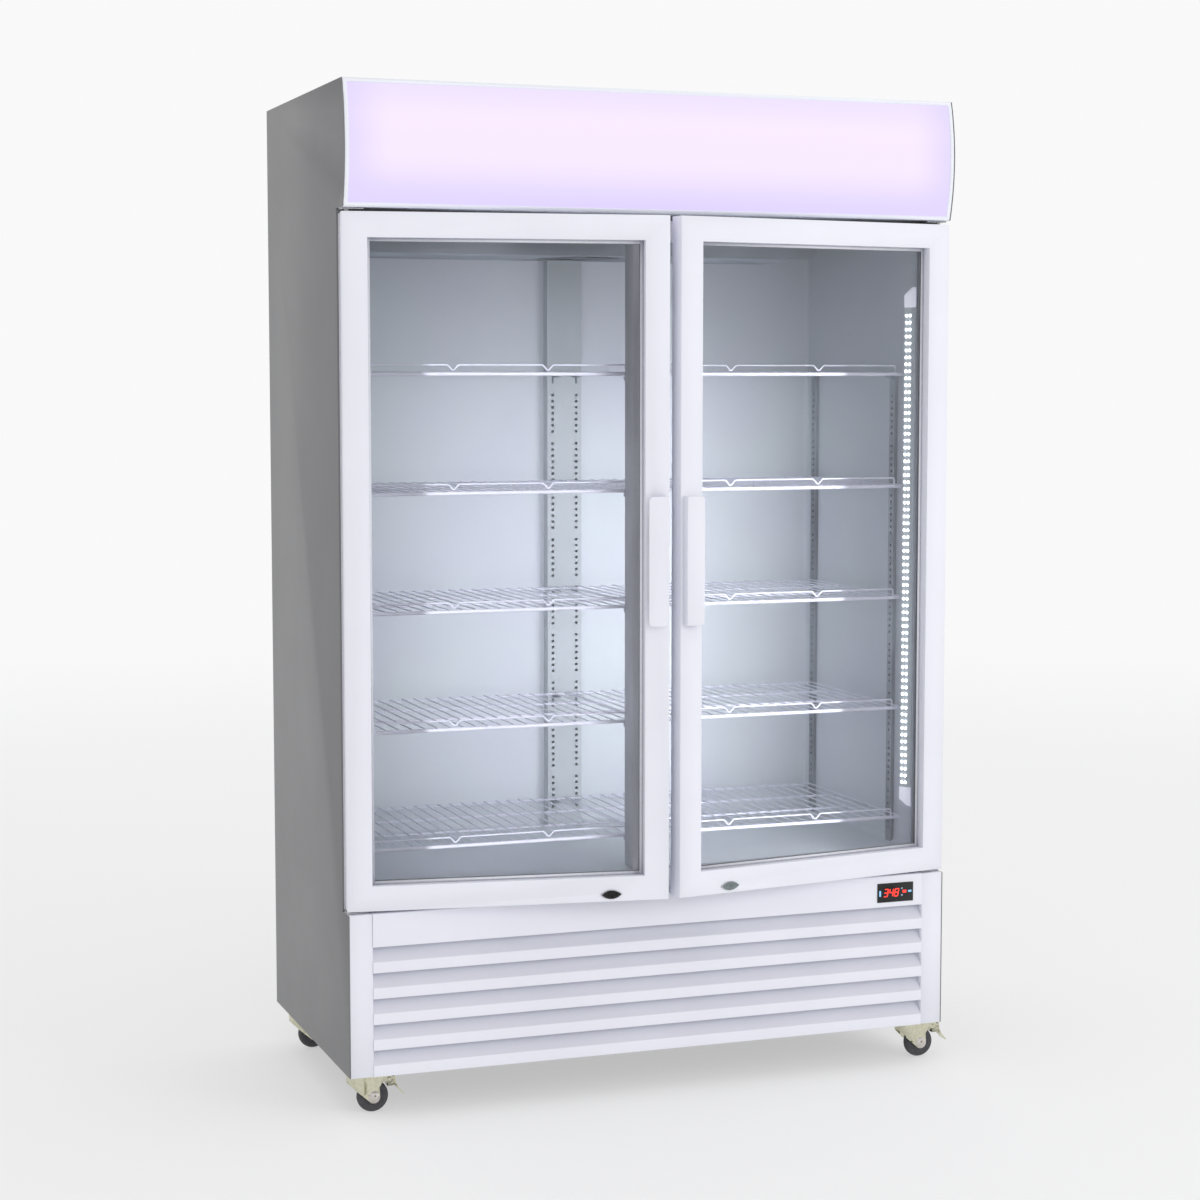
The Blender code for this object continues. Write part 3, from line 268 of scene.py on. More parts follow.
def moulded(name, colour, deeper, roughness, texture_mm, height_mm, **values):
    made, tree, shader, place = surface(name, colour, roughness, **values)
    fine = grain(tree, place, texture_mm, 3)
    tree.links.new(tint(tree, spread(tree, fine, 0, 1), colour, deeper), shader.inputs["Base Color"])
    tree.links.new(spread(tree, fine, roughness - 0.05, roughness + 0.07), shader.inputs["Roughness"])
    relief(tree, shader, fine, height_mm, 0.5)
    return made


nylon_coat = moulded("nylon_coated_wire", "#F1F1FA", "#E8E8F4", 0.30, 12, 0.02)
tyre_rubber = moulded("grey_tyre_rubber", "#48484C", "#3C3C40", 0.55, 3, 0.10)
black_abs = moulded("black_abs", "#101114", "#0B0C0E", 0.30, 2, 0.02)
soft_pvc = moulded("grey_pvc_gasket", "#8B8D92", "#7F8186", 0.55, 4, 0.03)
white_pvc = moulded("white_pvc_trim", "#EEEFF6", "#E6E7F0", 0.40, 6, 0.02)
grey_spacer = moulded("grey_spacer", "#A0A4A9", "#989CA1", 0.50, 3, 0.02)

# %% [markdown]
# ## Glass that lets light through
# Each door holds two 4 mm float panes. Thin flat glass shows what is behind it unbent, and mirrors
# a few percent of what is in front, more at grazing angles. That is a Transparent shader mixed with
# a mirror by Fresnel, and it lets lamplight into the cabinet without noise. The faint green-grey of
# float glass goes on the transparent side.

# %% Float glass
GLASS_IOR = 1.45


def float_glass(name, seen_through, mirror_share):
    made, tree, shader, _ = surface(name, "#FFFFFF", 0.03, 1.0)
    clear = add(tree, "ShaderNodeBsdfTransparent", {"Color": linear(seen_through)})
    fresnel = add(tree, "ShaderNodeFresnel", {"IOR": GLASS_IOR}).outputs["Fac"]
    share = add(tree, "ShaderNodeMath", {0: fresnel, 1: mirror_share}, operation="MULTIPLY")
    share.use_clamp = True
    inputs = {0: share.outputs["Value"], 1: clear.outputs["BSDF"], 2: shader.outputs["BSDF"]}
    mix = add(tree, "ShaderNodeMixShader", inputs)
    tree.links.new(mix.outputs["Shader"], tree.nodes["Material Output"].inputs["Surface"])
    return made


pane_glass = float_glass("float_glass", "#FAFAFB", 0.35)

# %% [markdown]
# ## Things that glow
# The canopy is opal acrylic in front of a lamp: pinkish white where the lamp is near, lavender
# towards the edges. Its colour depends on the distance from the lamp, so it is worked out from the
# object coordinates with smooth falloffs. LED chips and the display's segments are small
# emitters. The caps and the cover of the strip lights only glow from the lamps behind them.

# %% Opal canopy
canopy_low, canopy_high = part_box("canopy_diffuser")
CANOPY_GLOW = "#F8EAFF"
CANOPY_EDGE = "#E0D4FD"


def opal_acrylic():
    made, tree, shader, place = surface("lit_opal_acrylic", "#2A2830", 0.30)
    split = add(tree, "ShaderNodeSeparateXYZ", {"Vector": place}).outputs
    high = canopy_high.z - canopy_low.z
    lower = add(tree, "ShaderNodeMapRange", {
        "Value": split["Z"], "From Min": canopy_low.z, "From Max": canopy_low.z + 0.45 * high,
    }, interpolation_type="SMOOTHSTEP").outputs["Result"]
    upper = add(tree, "ShaderNodeMapRange", {
        "Value": split["Z"], "From Min": canopy_high.z, "From Max": canopy_high.z - 0.30 * high,
        "To Min": 0.55,
    }, interpolation_type="SMOOTHSTEP").outputs["Result"]
    across = add(tree, "ShaderNodeMath", {0: split["X"], 1: MIDDLE}, operation="SUBTRACT").outputs["Value"]
    off_middle = add(tree, "ShaderNodeMath", {0: across}, operation="ABSOLUTE").outputs["Value"]
    ends = add(tree, "ShaderNodeMapRange", {
        "Value": off_middle, "From Min": HALF, "From Max": HALF - 0.10, "To Min": 0.25,
    }, interpolation_type="SMOOTHSTEP").outputs["Result"]
    both = add(tree, "ShaderNodeMath", {0: lower, 1: upper}, operation="MULTIPLY").outputs["Value"]
    glow = add(tree, "ShaderNodeMath", {0: both, 1: ends}, operation="MULTIPLY").outputs["Value"]
    tree.links.new(tint(tree, glow, CANOPY_EDGE, CANOPY_GLOW), shader.inputs["Emission Color"])
    shader.inputs["Emission Strength"].default_value = 0.97
    return made


def glowing(name, colour, strength):
    made, _, shader, _ = surface(name, colour, 0.4)
    shader.inputs["Emission Color"].default_value = linear(colour)
    shader.inputs["Emission Strength"].default_value = strength
    return made


opal = opal_acrylic()
led_white = glowing("white_led_chip", "#F4F8FF", 6.0)
lit_cap = glowing("backlit_end_cap", "#E6E7F0", 0.55)
lit_cover = glowing("backlit_cover", "#C4CCCE", 0.22)
lamp_white = glowing("fluorescent_phosphor", "#F8F0FF", 1.5)
digit_red = glowing("red_led_segment", "#FF3A30", 1.6)
mark_blue = glowing("blue_led_mark", "#7FB4DC", 0.8)
mark_grey = glowing("grey_led_mark", "#8C98A4", 0.5)
print("materials", len(bpy.data.materials))

# %% [markdown]
# ## Finishing a mesh
# Sheet metal never has a razor edge. `eased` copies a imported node's mesh, merges its loose
# triangles, dissolves the flat ones, and lets a Bevel modifier round every edge sharper than 30
# degrees. The result is a plain mesh with its place in it.

# %% Meshes and edges


def placed(name, data):
    """A new object in the scene, for a mesh or a light."""
    made = bpy.data.objects.new(name, data)
    bpy.context.scene.collection.objects.link(made)
    return made


def new_piece(name, mesh, material, body):
    made = placed(name, mesh)
    if material:
        mesh.materials.clear()
        mesh.materials.append(material)
    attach(made, body)
    return made


def evaluated(made):
    """The object's mesh with its modifiers worked in, and the object itself removed."""
    bpy.context.view_layer.update()
    graph = bpy.context.evaluated_depsgraph_get()
    mesh = bpy.data.meshes.new_from_object(made.evaluated_get(graph))
    bpy.data.objects.remove(made)
    return mesh


def shaded(mesh, angle):
    """The mesh with smooth faces, and sharp edges where they meet at more than the angle."""
    mesh.shade_smooth()
    mesh.set_sharp_from_angle(angle=math.radians(angle))
    return mesh


def softened(mesh, width, segments=2, angle=30):
    """A mesh with its sharp edges rounded and its round faces smooth."""
    made = placed("softened", mesh)
    bevel = made.modifiers.new("ease", "BEVEL")
    bevel.width = width
    bevel.segments = segments
    bevel.limit_method = "ANGLE"
    bevel.angle_limit = math.radians(angle)
    bevel.harden_normals = True
    return shaded(evaluated(made), 50)


def walled(mesh, thickness, offset=-1):
    """A bare sheet with the thickness of its metal, to one side of its faces."""
    made = placed("sheet", mesh)
    wall = made.modifiers.new("wall", "SOLIDIFY")
    wall.thickness = thickness
    wall.offset = offset
    return evaluated(made)


# %% [markdown]
# Most shapes start as a bmesh, Blender's editable mesh. `plain` turns it into a mesh. Three kinds
# recur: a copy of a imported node, a set of blocks, and a skin over rings of points, which is either
# capped at both ends or runs round in a loop.

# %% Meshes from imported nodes, blocks and rings


def plain(shape, name):
    mesh = bpy.data.meshes.new(name)
    shape.to_mesh(mesh)
    shape.free()
    return mesh


def merged_copy(node, dissolve=True):
    shape = bmesh.new()
    shape.from_mesh(nodes[node].data)
    bmesh.ops.remove_doubles(shape, verts=shape.verts, dist=2e-6)
    if dissolve:
        flat = math.radians(0.4)
        bmesh.ops.dissolve_limit(shape, angle_limit=flat, verts=shape.verts, edges=shape.edges)
    return plain(shape, node)


def eased(name, node, material, body="cabinet", width=0.001, segments=2, angle=30):
    made = new_piece(name, softened(merged_copy(node), width, segments, angle), material, body)
    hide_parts(node)
    return made


def smoothed(name, node, material, body="cabinet", angle=30):
    """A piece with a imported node's own shape, its round faces smooth."""
    made = new_piece(name, shaded(merged_copy(node, dissolve=False), angle), material, body)
    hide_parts(node)
    return made


def blocks_mesh(name, spans):
    """One mesh of closed blocks, each from three (low, high) spans."""
    shape = bmesh.new()
    for block in spans:
        middle = Vector([(low + high) / 2 for low, high in block])
        size = [abs(high - low) for low, high in block]
        place = Matrix.Translation(middle) @ Matrix.Diagonal((*size, 1))
        bmesh.ops.create_cube(shape, size=1, matrix=place)
    return plain(shape, name)


def joined(name, meshes):
    shape = bmesh.new()
    for mesh in meshes:
        shape.from_mesh(mesh)
    return plain(shape, name)


def skinned(name, rings, capped):
    shape = bmesh.new()
    loops = [[shape.verts.new(point) for point in ring] for ring in rings]
    if capped:
        shape.faces.new(loops[0])
        shape.faces.new(loops[-1])
    else:
        loops.append(loops[0])
    for first, second in zip(loops, loops[1:]):
        for i in range(len(first)):
            j = (i + 1) % len(first)
            shape.faces.new((first[i], first[j], second[j], second[i]))
    bmesh.ops.recalc_face_normals(shape, faces=shape.faces)
    return plain(shape, name)


# %% [markdown]
# ## Trees that repeat things
# Two small Geometry Nodes trees do most of the repeating. `row` copies whatever mesh it is given
# along a straight line, and `scatter` sets a small domed head on every vertex of a mesh, such as
# screws or LED chips. Both end in Realize Instances and Set Material, so the result is plain mesh.

# %% Geometry Nodes helpers


def new_tree(name, sockets):
    tree = bpy.data.node_groups.new(name, "GeometryNodeTree")
    tree.interface.new_socket("Geometry", in_out="OUTPUT", socket_type="NodeSocketGeometry")
    for label, kind in sockets:
        tree.interface.new_socket(label, in_out="INPUT", socket_type=f"NodeSocket{kind}")
    inlet = tree.nodes.new("NodeGroupInput").outputs
    outlet = tree.nodes.new("NodeGroupOutput").inputs["Geometry"]
    return tree, inlet, outlet


def grown(tree, start, **values):
    """The plain mesh that a tree makes from a starting mesh and its named inputs."""
    made = placed(tree.name, start)
    modifier = made.modifiers.new("grow", "NODES")
    modifier.node_group = tree
    for item in tree.interface.items_tree:
        key = item.name.lower().replace(" ", "_")
        if item.in_out == "INPUT" and key in values:
            modifier[item.identifier] = values[key]
    return evaluated(made)


def finish_tree(tree, geometry, material, outlet):
    real = add(tree, "GeometryNodeRealizeInstances", {"Geometry": geometry}).outputs["Geometry"]
    inputs = {"Geometry": real, "Material": material}
    tree.links.new(add(tree, "GeometryNodeSetMaterial", inputs).outputs["Geometry"], outlet)


def row_tree():
    tree, inlet, outlet = new_tree("row", [
        ("Geometry", "Geometry"), ("Count", "Int"), ("Step", "Vector"), ("Material", "Material"),
    ])
    line = add(tree, "GeometryNodeMeshLine", {"Count": inlet["Count"], "Offset": inlet["Step"]})
    copies = add(tree, "GeometryNodeInstanceOnPoints", {
        "Points": line.outputs["Mesh"], "Instance": inlet["Geometry"],
    }).outputs["Instances"]
    real = add(tree, "GeometryNodeRealizeInstances", {"Geometry": copies}).outputs["Geometry"]
    joined = add(tree, "GeometryNodeMergeByDistance", {"Geometry": real, "Distance": 1e-5})
    finish_tree(tree, joined.outputs["Geometry"], inlet["Material"], outlet)
    return tree


def scatter_tree():
    tree, inlet, outlet = new_tree("scatter", [
        ("Geometry", "Geometry"), ("Radius", "Float"), ("Height", "Float"), ("Turn", "Rotation"),
        ("Material", "Material"),
    ])
    head = add(tree, "GeometryNodeMeshUVSphere", {"Segments": 12, "Rings": 6, "Radius": 1.0})
    size = add(tree, "ShaderNodeCombineXYZ", {
        "X": inlet["Radius"], "Y": inlet["Radius"], "Z": inlet["Height"],
    }).outputs["Vector"]
    copies = add(tree, "GeometryNodeInstanceOnPoints", {
        "Points": inlet["Geometry"], "Instance": head.outputs["Mesh"], "Scale": size,
        "Rotation": inlet["Turn"],
    }).outputs["Instances"]
    finish_tree(tree, copies, inlet["Material"], outlet)
    return tree


ROW, SCATTER = row_tree(), scatter_tree()


def points_mesh(points):
    mesh = bpy.data.meshes.new("points")
    mesh.from_pydata([tuple(p) for p in points], [], [])
    return mesh


def heads(name, points, radius, height, facing, material, body):
    """Domed heads on points, their flat side against a face that looks along facing."""
    turn = Vector((0, 0, 1)).rotation_difference(Vector(facing)).to_euler()
    mesh = grown(SCATTER, points_mesh(points), radius=radius, height=height, turn=turn, material=material)
    mesh.shade_smooth()
    return new_piece(name, mesh, None, body)


print("trees", [tree.name for tree in bpy.data.node_groups])

# %% [markdown]
# ## Outer sheets
# The side walls are grey sheets that run forward beside the base and the canopy. Their edges are
# only folded metal, so they are eased by half a millimetre. The roof and the floor pan stay as
# imported, with a finish.

# %% Side walls and roof


def finished(node, material):
    """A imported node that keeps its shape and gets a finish."""
    nodes[node].data.materials.clear()
    nodes[node].data.materials.append(material)


for side in SIDES:
    eased(f"{side}_side_wall", f"{side}_side_panel", grey_powder, width=0.0006)
for node, material in (
    ("top_panel", grey_powder), ("cabinet_floor", liner_sheet), ("base_pan", dark_enamel),
    ("compressor", dark_enamel), ("canopy_diffuser", opal), ("canopy_light_tube", lamp_white),
    ("evaporator_coil", fin_aluminium), ("condenser_coil", fin_aluminium),
    ("evaporator_fan", black_abs), ("condenser_fan", black_abs),
):
    finished(node, material)

# %% [markdown]
# ## The inner tank
# Inside the foam sits one folded liner: back, sides, floor and ceiling, with rounded corners that
# are easy to wipe. It is a box without its front, bevelled along its four long corners and given a
# thin wall. A flat strip in front of it, the thermal break, covers the edge of the foam where the
# door seals meet it.

# %% Liner and thermal break
TANK_GAP = 0.0006
TANK_CORNER = 0.010
BREAK_PROUD = 0.0002
BREAK_DEEP = 0.002
BREAK_EDGE = 0.004
BREAK_HEADER = 0.04


def inner_tank():
    half = INNER - TANK_GAP
    low, high = FLOOR_TOP + TANK_GAP, CEILING - TANK_GAP
    shape = bmesh.new()
    size = (2 * half, REAR - TANK_GAP - FACE, high - low, 1)
    middle = Matrix.Translation((MIDDLE, (REAR - TANK_GAP + FACE) / 2, (low + high) / 2))
    bmesh.ops.create_cube(shape, size=1, matrix=middle @ Matrix.Diagonal(size))
    front = [face for face in shape.faces if face.normal.y < -0.9]
    bmesh.ops.delete(shape, geom=front, context="FACES")
    inside = [edge for edge in shape.edges if not edge.is_boundary]
    bmesh.ops.bevel(shape, geom=inside, offset=TANK_CORNER, segments=5, profile=0.5, affect="EDGES")
    bmesh.ops.reverse_faces(shape, faces=shape.faces)
    mesh = shaded(walled(plain(shape, "inner_tank"), TANK_GAP / 2), 40)
    new_piece("inner_liner", mesh, liner_sheet, "cabinet")


def thermal_break():
    """Four flat strips round the opening, just proud of the cabinet's face."""
    deep = (FACE - BREAK_PROUD, FACE + BREAK_DEEP)
    outer, inner = HALF - BREAK_EDGE, INNER - BREAK_PROUD
    foot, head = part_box("base_frame")[1].z, HEADER_LOW + BREAK_HEADER
    spans = []
    for sign in SIDES.values():
        spans.append((sorted((MIDDLE + sign * outer, MIDDLE + sign * inner)), deep, (foot, head)))
    across = (MIDDLE - inner, MIDDLE + inner)
    spans += [(across, deep, (foot, FLOOR_TOP)), (across, deep, (HEADER_LOW, head))]
    mesh = blocks_mesh("thermal_break", spans)
    new_piece("thermal_break", mesh, white_pvc, "cabinet")


inner_tank()
thermal_break()

# %% [markdown]
# ## The header's inner face
# Above the doors the header hangs down behind the canopy. Seen from inside it is liner sheet, so a
# thin folded sheet covers its lower edge and its back.

# %% Header sheet
HEADER_DEPTH = 0.042
HEADER_SKIN = 0.0008
HEADER_CLEAR = 0.001
header_spans = [(
    (MIDDLE - INNER + HEADER_CLEAR, MIDDLE + INNER - HEADER_CLEAR),
    (FACE + 0.0005, FACE + HEADER_DEPTH + HEADER_SKIN),
    (HEADER_LOW - HEADER_SKIN, CEILING - HEADER_CLEAR),
)]
header_mesh = softened(blocks_mesh("header_sheet", header_spans), 0.0015)
new_piece("header_sheet", header_mesh, liner_sheet, "cabinet")

# %% [markdown]
# ## The wire shelves
# A shelf is a grille of thin wires that run front to back, welded on a few cross bars, with a
# thicker bar in front. A retaining wire stands on the front bar, bent down into two V-notches that
# hold it. One tree makes all of it: wires and bars are curves with a round profile, and the
# retainer comes in as a line of edges whose corners the tree fillets.

# %% Shelf tree
SHELF_THICKNESS = 0.009
RETAINER_RISE = 0.015
WIRE_SPACING = 0.0243
WIRE_RADIUS = 0.00145
BAR_RADIUS = 0.0024
FRONT_BAR_RADIUS = 0.0036
RETAINER_RADIUS = 0.0017
WIRE_INSET = 0.002
BAR_LIE = 1.8  # in wire radii, so the bars press a little into the wires
FRONT_BAR_DROP = 0.0009


def tube(tree, curve, radius, sides=8):
    profile = add(tree, "GeometryNodeCurvePrimitiveCircle", {"Resolution": sides, "Radius": radius})
    inputs = {"Curve": curve, "Profile Curve": profile.outputs["Curve"], "Fill Caps": True}
    return add(tree, "GeometryNodeCurveToMesh", inputs).outputs["Mesh"]


def repeated_line(tree, start, end, line_end, count):
    """Copies of a straight curve, spaced evenly from start to end."""
    points = add(tree, "GeometryNodeMeshLine", {
        "Count": count, "Start Location": start, "Offset": end,
    }, mode="END_POINTS").outputs["Mesh"]
    line = add(tree, "GeometryNodeCurvePrimitiveLine", {"End": line_end}).outputs["Curve"]
    inputs = {"Points": points, "Instance": line}
    copies = add(tree, "GeometryNodeInstanceOnPoints", inputs).outputs["Instances"]
    return add(tree, "GeometryNodeRealizeInstances", {"Geometry": copies}).outputs["Geometry"]


def shelf_tree():
    tree, inlet, outlet = new_tree("wire_shelf", [
        ("Geometry", "Geometry"), ("Width", "Float"), ("Depth", "Float"), ("Spacing", "Float"),
        ("Wire", "Float"), ("Bar", "Float"), ("Front Bar", "Float"), ("Retainer", "Float"),
        ("Material", "Material"),
    ])

    def math_node(operation, first, second):
        return add(tree, "ShaderNodeMath", {0: first, 1: second}, operation=operation).outputs["Value"]

    def point(x=0.0, y=0.0, z=0.0):
        return add(tree, "ShaderNodeCombineXYZ", {"X": x, "Y": y, "Z": z}).outputs["Vector"]

    width, depth, wire, bar = (inlet[name] for name in ("Width", "Depth", "Wire", "Bar"))
    half = math_node("MULTIPLY", width, 0.5)
    minus_half = math_node("MULTIPLY", width, -0.5)
    edge = math_node("SUBTRACT", half, bar)
    minus_edge = math_node("MULTIPLY", edge, -1.0)
    wire_low = math_node("MULTIPLY", wire, -1.0)
    bar_low = math_node("SUBTRACT", math_node("MULTIPLY", wire, -BAR_LIE), bar)
    count = math_node("DIVIDE", width, inlet["Spacing"])
    wires = repeated_line(tree, point(minus_edge, WIRE_INSET, wire_low), point(edge, WIRE_INSET, wire_low),
                          point(y=math_node("SUBTRACT", depth, 2 * WIRE_INSET)), count)
    bars = repeated_line(tree, point(minus_half, bar, bar_low),
                         point(minus_half, math_node("SUBTRACT", depth, bar), bar_low), point(x=width), 4)
    front_bar = inlet["Front Bar"]
    front_z = math_node("SUBTRACT", -FRONT_BAR_DROP, front_bar)
    front = add(tree, "GeometryNodeCurvePrimitiveLine", {
        "Start": point(minus_half, front_bar, front_z), "End": point(half, front_bar, front_z),
    }).outputs["Curve"]
    bent = add(tree, "GeometryNodeMeshToCurve", {"Mesh": inlet["Geometry"]}).outputs["Curve"]
    rounded = add(tree, "GeometryNodeFilletCurve", {
        "Curve": bent, "Count": 4, "Radius": 0.004, "Limit Radius": True,
    }, mode="POLY")
    joined = add(tree, "GeometryNodeJoinGeometry", {"Geometry": [
        tube(tree, wires, wire), tube(tree, bars, bar), tube(tree, front, front_bar, 12),
        tube(tree, rounded.outputs["Curve"], inlet["Retainer"]),
    ]}).outputs["Geometry"]
    finish_tree(tree, joined, inlet["Material"], outlet)
    return tree


# %% [markdown]
# The retainer's path needs only its own corners: down at each end, and a V at a sixth of the width
# either side of the middle.

# %% Ten shelves
NOTCH_AT = 0.0975
NOTCH_HALF = 0.011
NOTCH_BOTTOM = 0.0012
RETAINER_END = 0.019
RETAINER_FOOT = -0.002
SHELF = shelf_tree()


def retainer_path(width):
    top = RETAINER_RISE - RETAINER_RADIUS
    end = width / 2 - RETAINER_END
    points = [(-end, RETAINER_FOOT), (-end, top)]
    for middle in (-NOTCH_AT, NOTCH_AT):
        points += [(middle - NOTCH_HALF, top), (middle, NOTCH_BOTTOM), (middle + NOTCH_HALF, top)]
    points += [(end, top), (end, RETAINER_FOOT)]
    mesh = bpy.data.meshes.new("retainer")
    edges = [(i, i + 1) for i in range(len(points) - 1)]
    mesh.from_pydata([(x, FRONT_BAR_RADIUS, z) for x, z in points], edges, [])
    return mesh


for side in SIDES:
    for number in range(1, 6):
        node = f"{side}_shelf_{number}"
        low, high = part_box(node)
        width = high.x - low.x
        mesh = grown(SHELF, retainer_path(width), width=width, depth=high.y - low.y, spacing=WIRE_SPACING,
                     wire=WIRE_RADIUS, bar=BAR_RADIUS, front_bar=FRONT_BAR_RADIUS, retainer=RETAINER_RADIUS,
                     material=nylon_coat)
        mesh.transform(Matrix.Translation(((low.x + high.x) / 2, low.y, high.z - RETAINER_RISE)))
        made = new_piece(f"{side}_wire_shelf_{number}", shaded(mesh, 50), None, "cabinet")
        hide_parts(node)
print("shelf faces", len(mesh.polygons))

# %% [markdown]
# ## Slotted standards
# The shelf clips hook into punched slots, seven to a group and then one left out. A standard is a
# thin folded channel with real holes: one group is drawn as a grid without the cells of its slots,
# the row tree repeats it upwards, and Solidify gives the sheet its thickness. Behind the holes the
# hollow channel is dark by itself.

# %% Punched sheet
SHEET = 0.001


def grid_with_holes(across, up):
    """A flat sheet divided at these X and Z places, open where both column and row are odd."""
    points = [(x, 0, z) for z in up for x in across]
    faces = []
    for j in range(len(up) - 1):
        for i in range(len(across) - 1):
            if i % 2 and j % 2:
                continue
            corner = j * len(across) + i
            faces.append((corner, corner + 1, corner + 1 + len(across), corner + len(across)))
    mesh = bpy.data.meshes.new("grid_with_holes")
    mesh.from_pydata(points, [], faces)
    return mesh


def punched_sheet(across, up, count, first, height, material, thickness, offset=-1):
    """Repeated rows of holes with plain sheet below and above, from Z 0 to height."""
    step = up[-1]
    rows = grown(ROW, grid_with_holes(across, up), count=count, step=(0, 0, step), material=material)
    shape = bmesh.new()
    shape.from_mesh(rows)
    bmesh.ops.translate(shape, verts=shape.verts, vec=(0, 0, first))
    left, right = across[0], across[-1]
    for low, high in ((0, first), (first + count * step, height)):
        corners = [(left, 0, low), (right, 0, low), (right, 0, high), (left, 0, high)]
        shape.faces.new([shape.verts.new(corner) for corner in corners])
    return walled(plain(shape, "punched_sheet"), thickness, offset)


# %% [markdown]
# The middle standard on the back wall serves both bays, so it is broad and has two columns. The
# four on the side walls are narrow, with one column, and turn their face to the middle. Those end
# just below the top shelf.

# %% Five standards
SLOT = (0.0062, 0.0052)
SLOT_PITCH = 0.0131
SLOTS_PER_GROUP = 7
GROUP_PITCH = (SLOTS_PER_GROUP + 1) * SLOT_PITCH
FIRST_SLOT = 0.022
REAR_COLUMNS = (-0.027, 0.027)
REAR_GROUPS = 9
REAR_DEPTH = 0.027
SIDE_DEPTH = 0.008


def slotted_channel(width, depth, height, columns, groups):
    """A channel's slotted face in the plane Y 0, with its two folded sides behind it."""
    across = [-width / 2]
    for column in columns:
        across += [column - SLOT[0] / 2, column + SLOT[0] / 2]
    across.append(width / 2)
    up = [0.0]
    for i in range(SLOTS_PER_GROUP):
        middle = (i + 0.5) * SLOT_PITCH
        up += [middle - SLOT[1] / 2, middle + SLOT[1] / 2]
    up.append(GROUP_PITCH)
    face = punched_sheet(across, up, groups, FIRST_SLOT, height, pilaster_sheet, SHEET)
    spans = []
    for sign in SIDES.values():
        spans.append((sorted((sign * width / 2, sign * (width / 2 - SHEET))), (SHEET, depth), (0, height)))
    return joined("slotted_channel", [face, blocks_mesh("flanges", spans)])


def rear_standard():
    low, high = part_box("rear_pilaster")
    mesh = slotted_channel(high.x - low.x, REAR_DEPTH, high.z - low.z, REAR_COLUMNS, REAR_GROUPS)
    mesh.transform(Matrix.Translation((MIDDLE, REAR - REAR_DEPTH, low.z)))
    made = new_piece("slotted_rear_standard", mesh, pilaster_sheet, "cabinet")
    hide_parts("rear_pilaster")


def side_standard(side, where):
    node = f"{side}_{where}_pilaster"
    low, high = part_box(node)
    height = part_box(f"{side}_shelf_5")[0].z - low.z
    groups = int((height - FIRST_SLOT) / GROUP_PITCH)
    mesh = slotted_channel(high.y - low.y, SIDE_DEPTH, height, (0.0,), groups)
    face = MIDDLE + SIDES[side] * (INNER - SIDE_DEPTH)
    turn = Matrix.Rotation(math.radians(-90 * SIDES[side]), 4, "Z")
    mesh.transform(Matrix.Translation((face, (low.y + high.y) / 2, low.z)) @ turn)
    made = new_piece(f"{side}_{where}_standard", mesh, standard_steel, "cabinet")
    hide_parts(node)


rear_standard()
for side in SIDES:
    for where in ("front", "rear"):
        side_standard(side, where)

# %% [markdown]
# ## Shelf clips
# Each shelf hangs on small bent clips. They are the same everywhere, so one mesh of blocks per
# post is enough, eased so that the folds catch the light.

# %% Clips
CLIP_HIGH = 0.008
CLIP_WIDE = 0.012
CLIP_SHEET = 0.002
CLIP_WALL, CLIP_END = 0.0075, 0.024  # from the side wall
MIDDLE_CLIP = (0.016, 0.028)  # from the middle
FRONT_IN, BACK_IN = 0.056, 0.017  # of the side clips, from the shelf's edges
HOOK_HALF, HOOK_DROP = 0.0018, 0.015


def shelf_clips():
    spans = []
    face = REAR - REAR_DEPTH
    for side, sign in SIDES.items():
        wall = MIDDLE + sign * (INNER - CLIP_WALL)
        shelf_edge = MIDDLE + sign * (INNER - CLIP_END)
        across = sorted(MIDDLE + sign * x for x in MIDDLE_CLIP)
        column = MIDDLE + sign * REAR_COLUMNS[1]
        for number in range(1, 6):
            low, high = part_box(f"{side}_shelf_{number}")
            top = high.z - RETAINER_RISE - SHELF_THICKNESS
            up = (top - CLIP_SHEET, top)
            for y in (low.y + FRONT_IN, high.y - BACK_IN):
                along = (y - CLIP_WIDE / 2, y + CLIP_WIDE / 2)
                spans.append((sorted((wall, shelf_edge)), along, up))
                spans.append((sorted((wall, wall - sign * CLIP_SHEET)), along, (top - CLIP_HIGH, top)))
            for along in ((high.y - BACK_IN, face), (low.y - 0.006, low.y + 0.017)):
                spans.append((across, along, up))
            hook = (column - HOOK_HALF, column + HOOK_HALF)
            spans.append((hook, (face - CLIP_SHEET, face), (top - HOOK_DROP, top)))
    mesh = softened(blocks_mesh("shelf_clips", spans), 0.0005)
    new_piece("shelf_clips", mesh, standard_steel, "cabinet")
    print("clips", len(spans))


eased("center_post", "center_mullion", post_sheet, width=0.003, segments=3)
shelf_clips()

# %% [markdown]
# ## The cooler under the ceiling
# The evaporator sits in a painted tray with rounded lower corners. Its front has a row of narrow
# air slots, and screws along the edge. The slots are not cut: thin black bars stand on the cover
# as painted shade where their dark openings would be.

# %% Cooler cover and its screws
eased("cooler_cover", "evaporator_cover", cooler_cover, width=0.0015)
cover_low, cover_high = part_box("evaporator_cover")
COVER_SCREWS = 6
SCREW_IN, SCREW_UP = 0.035, 0.030
screw_step = (cover_high.x - cover_low.x - 2 * SCREW_IN) / (COVER_SCREWS - 1)
screws = []
for i in range(COVER_SCREWS):
    screws.append((cover_low.x + SCREW_IN + i * screw_step, cover_low.y - 0.0004, cover_low.z + SCREW_UP))
heads("cooler_cover_screws", screws, 0.0042, 0.0022, (0, -1, 0), bright_zinc, "cabinet")
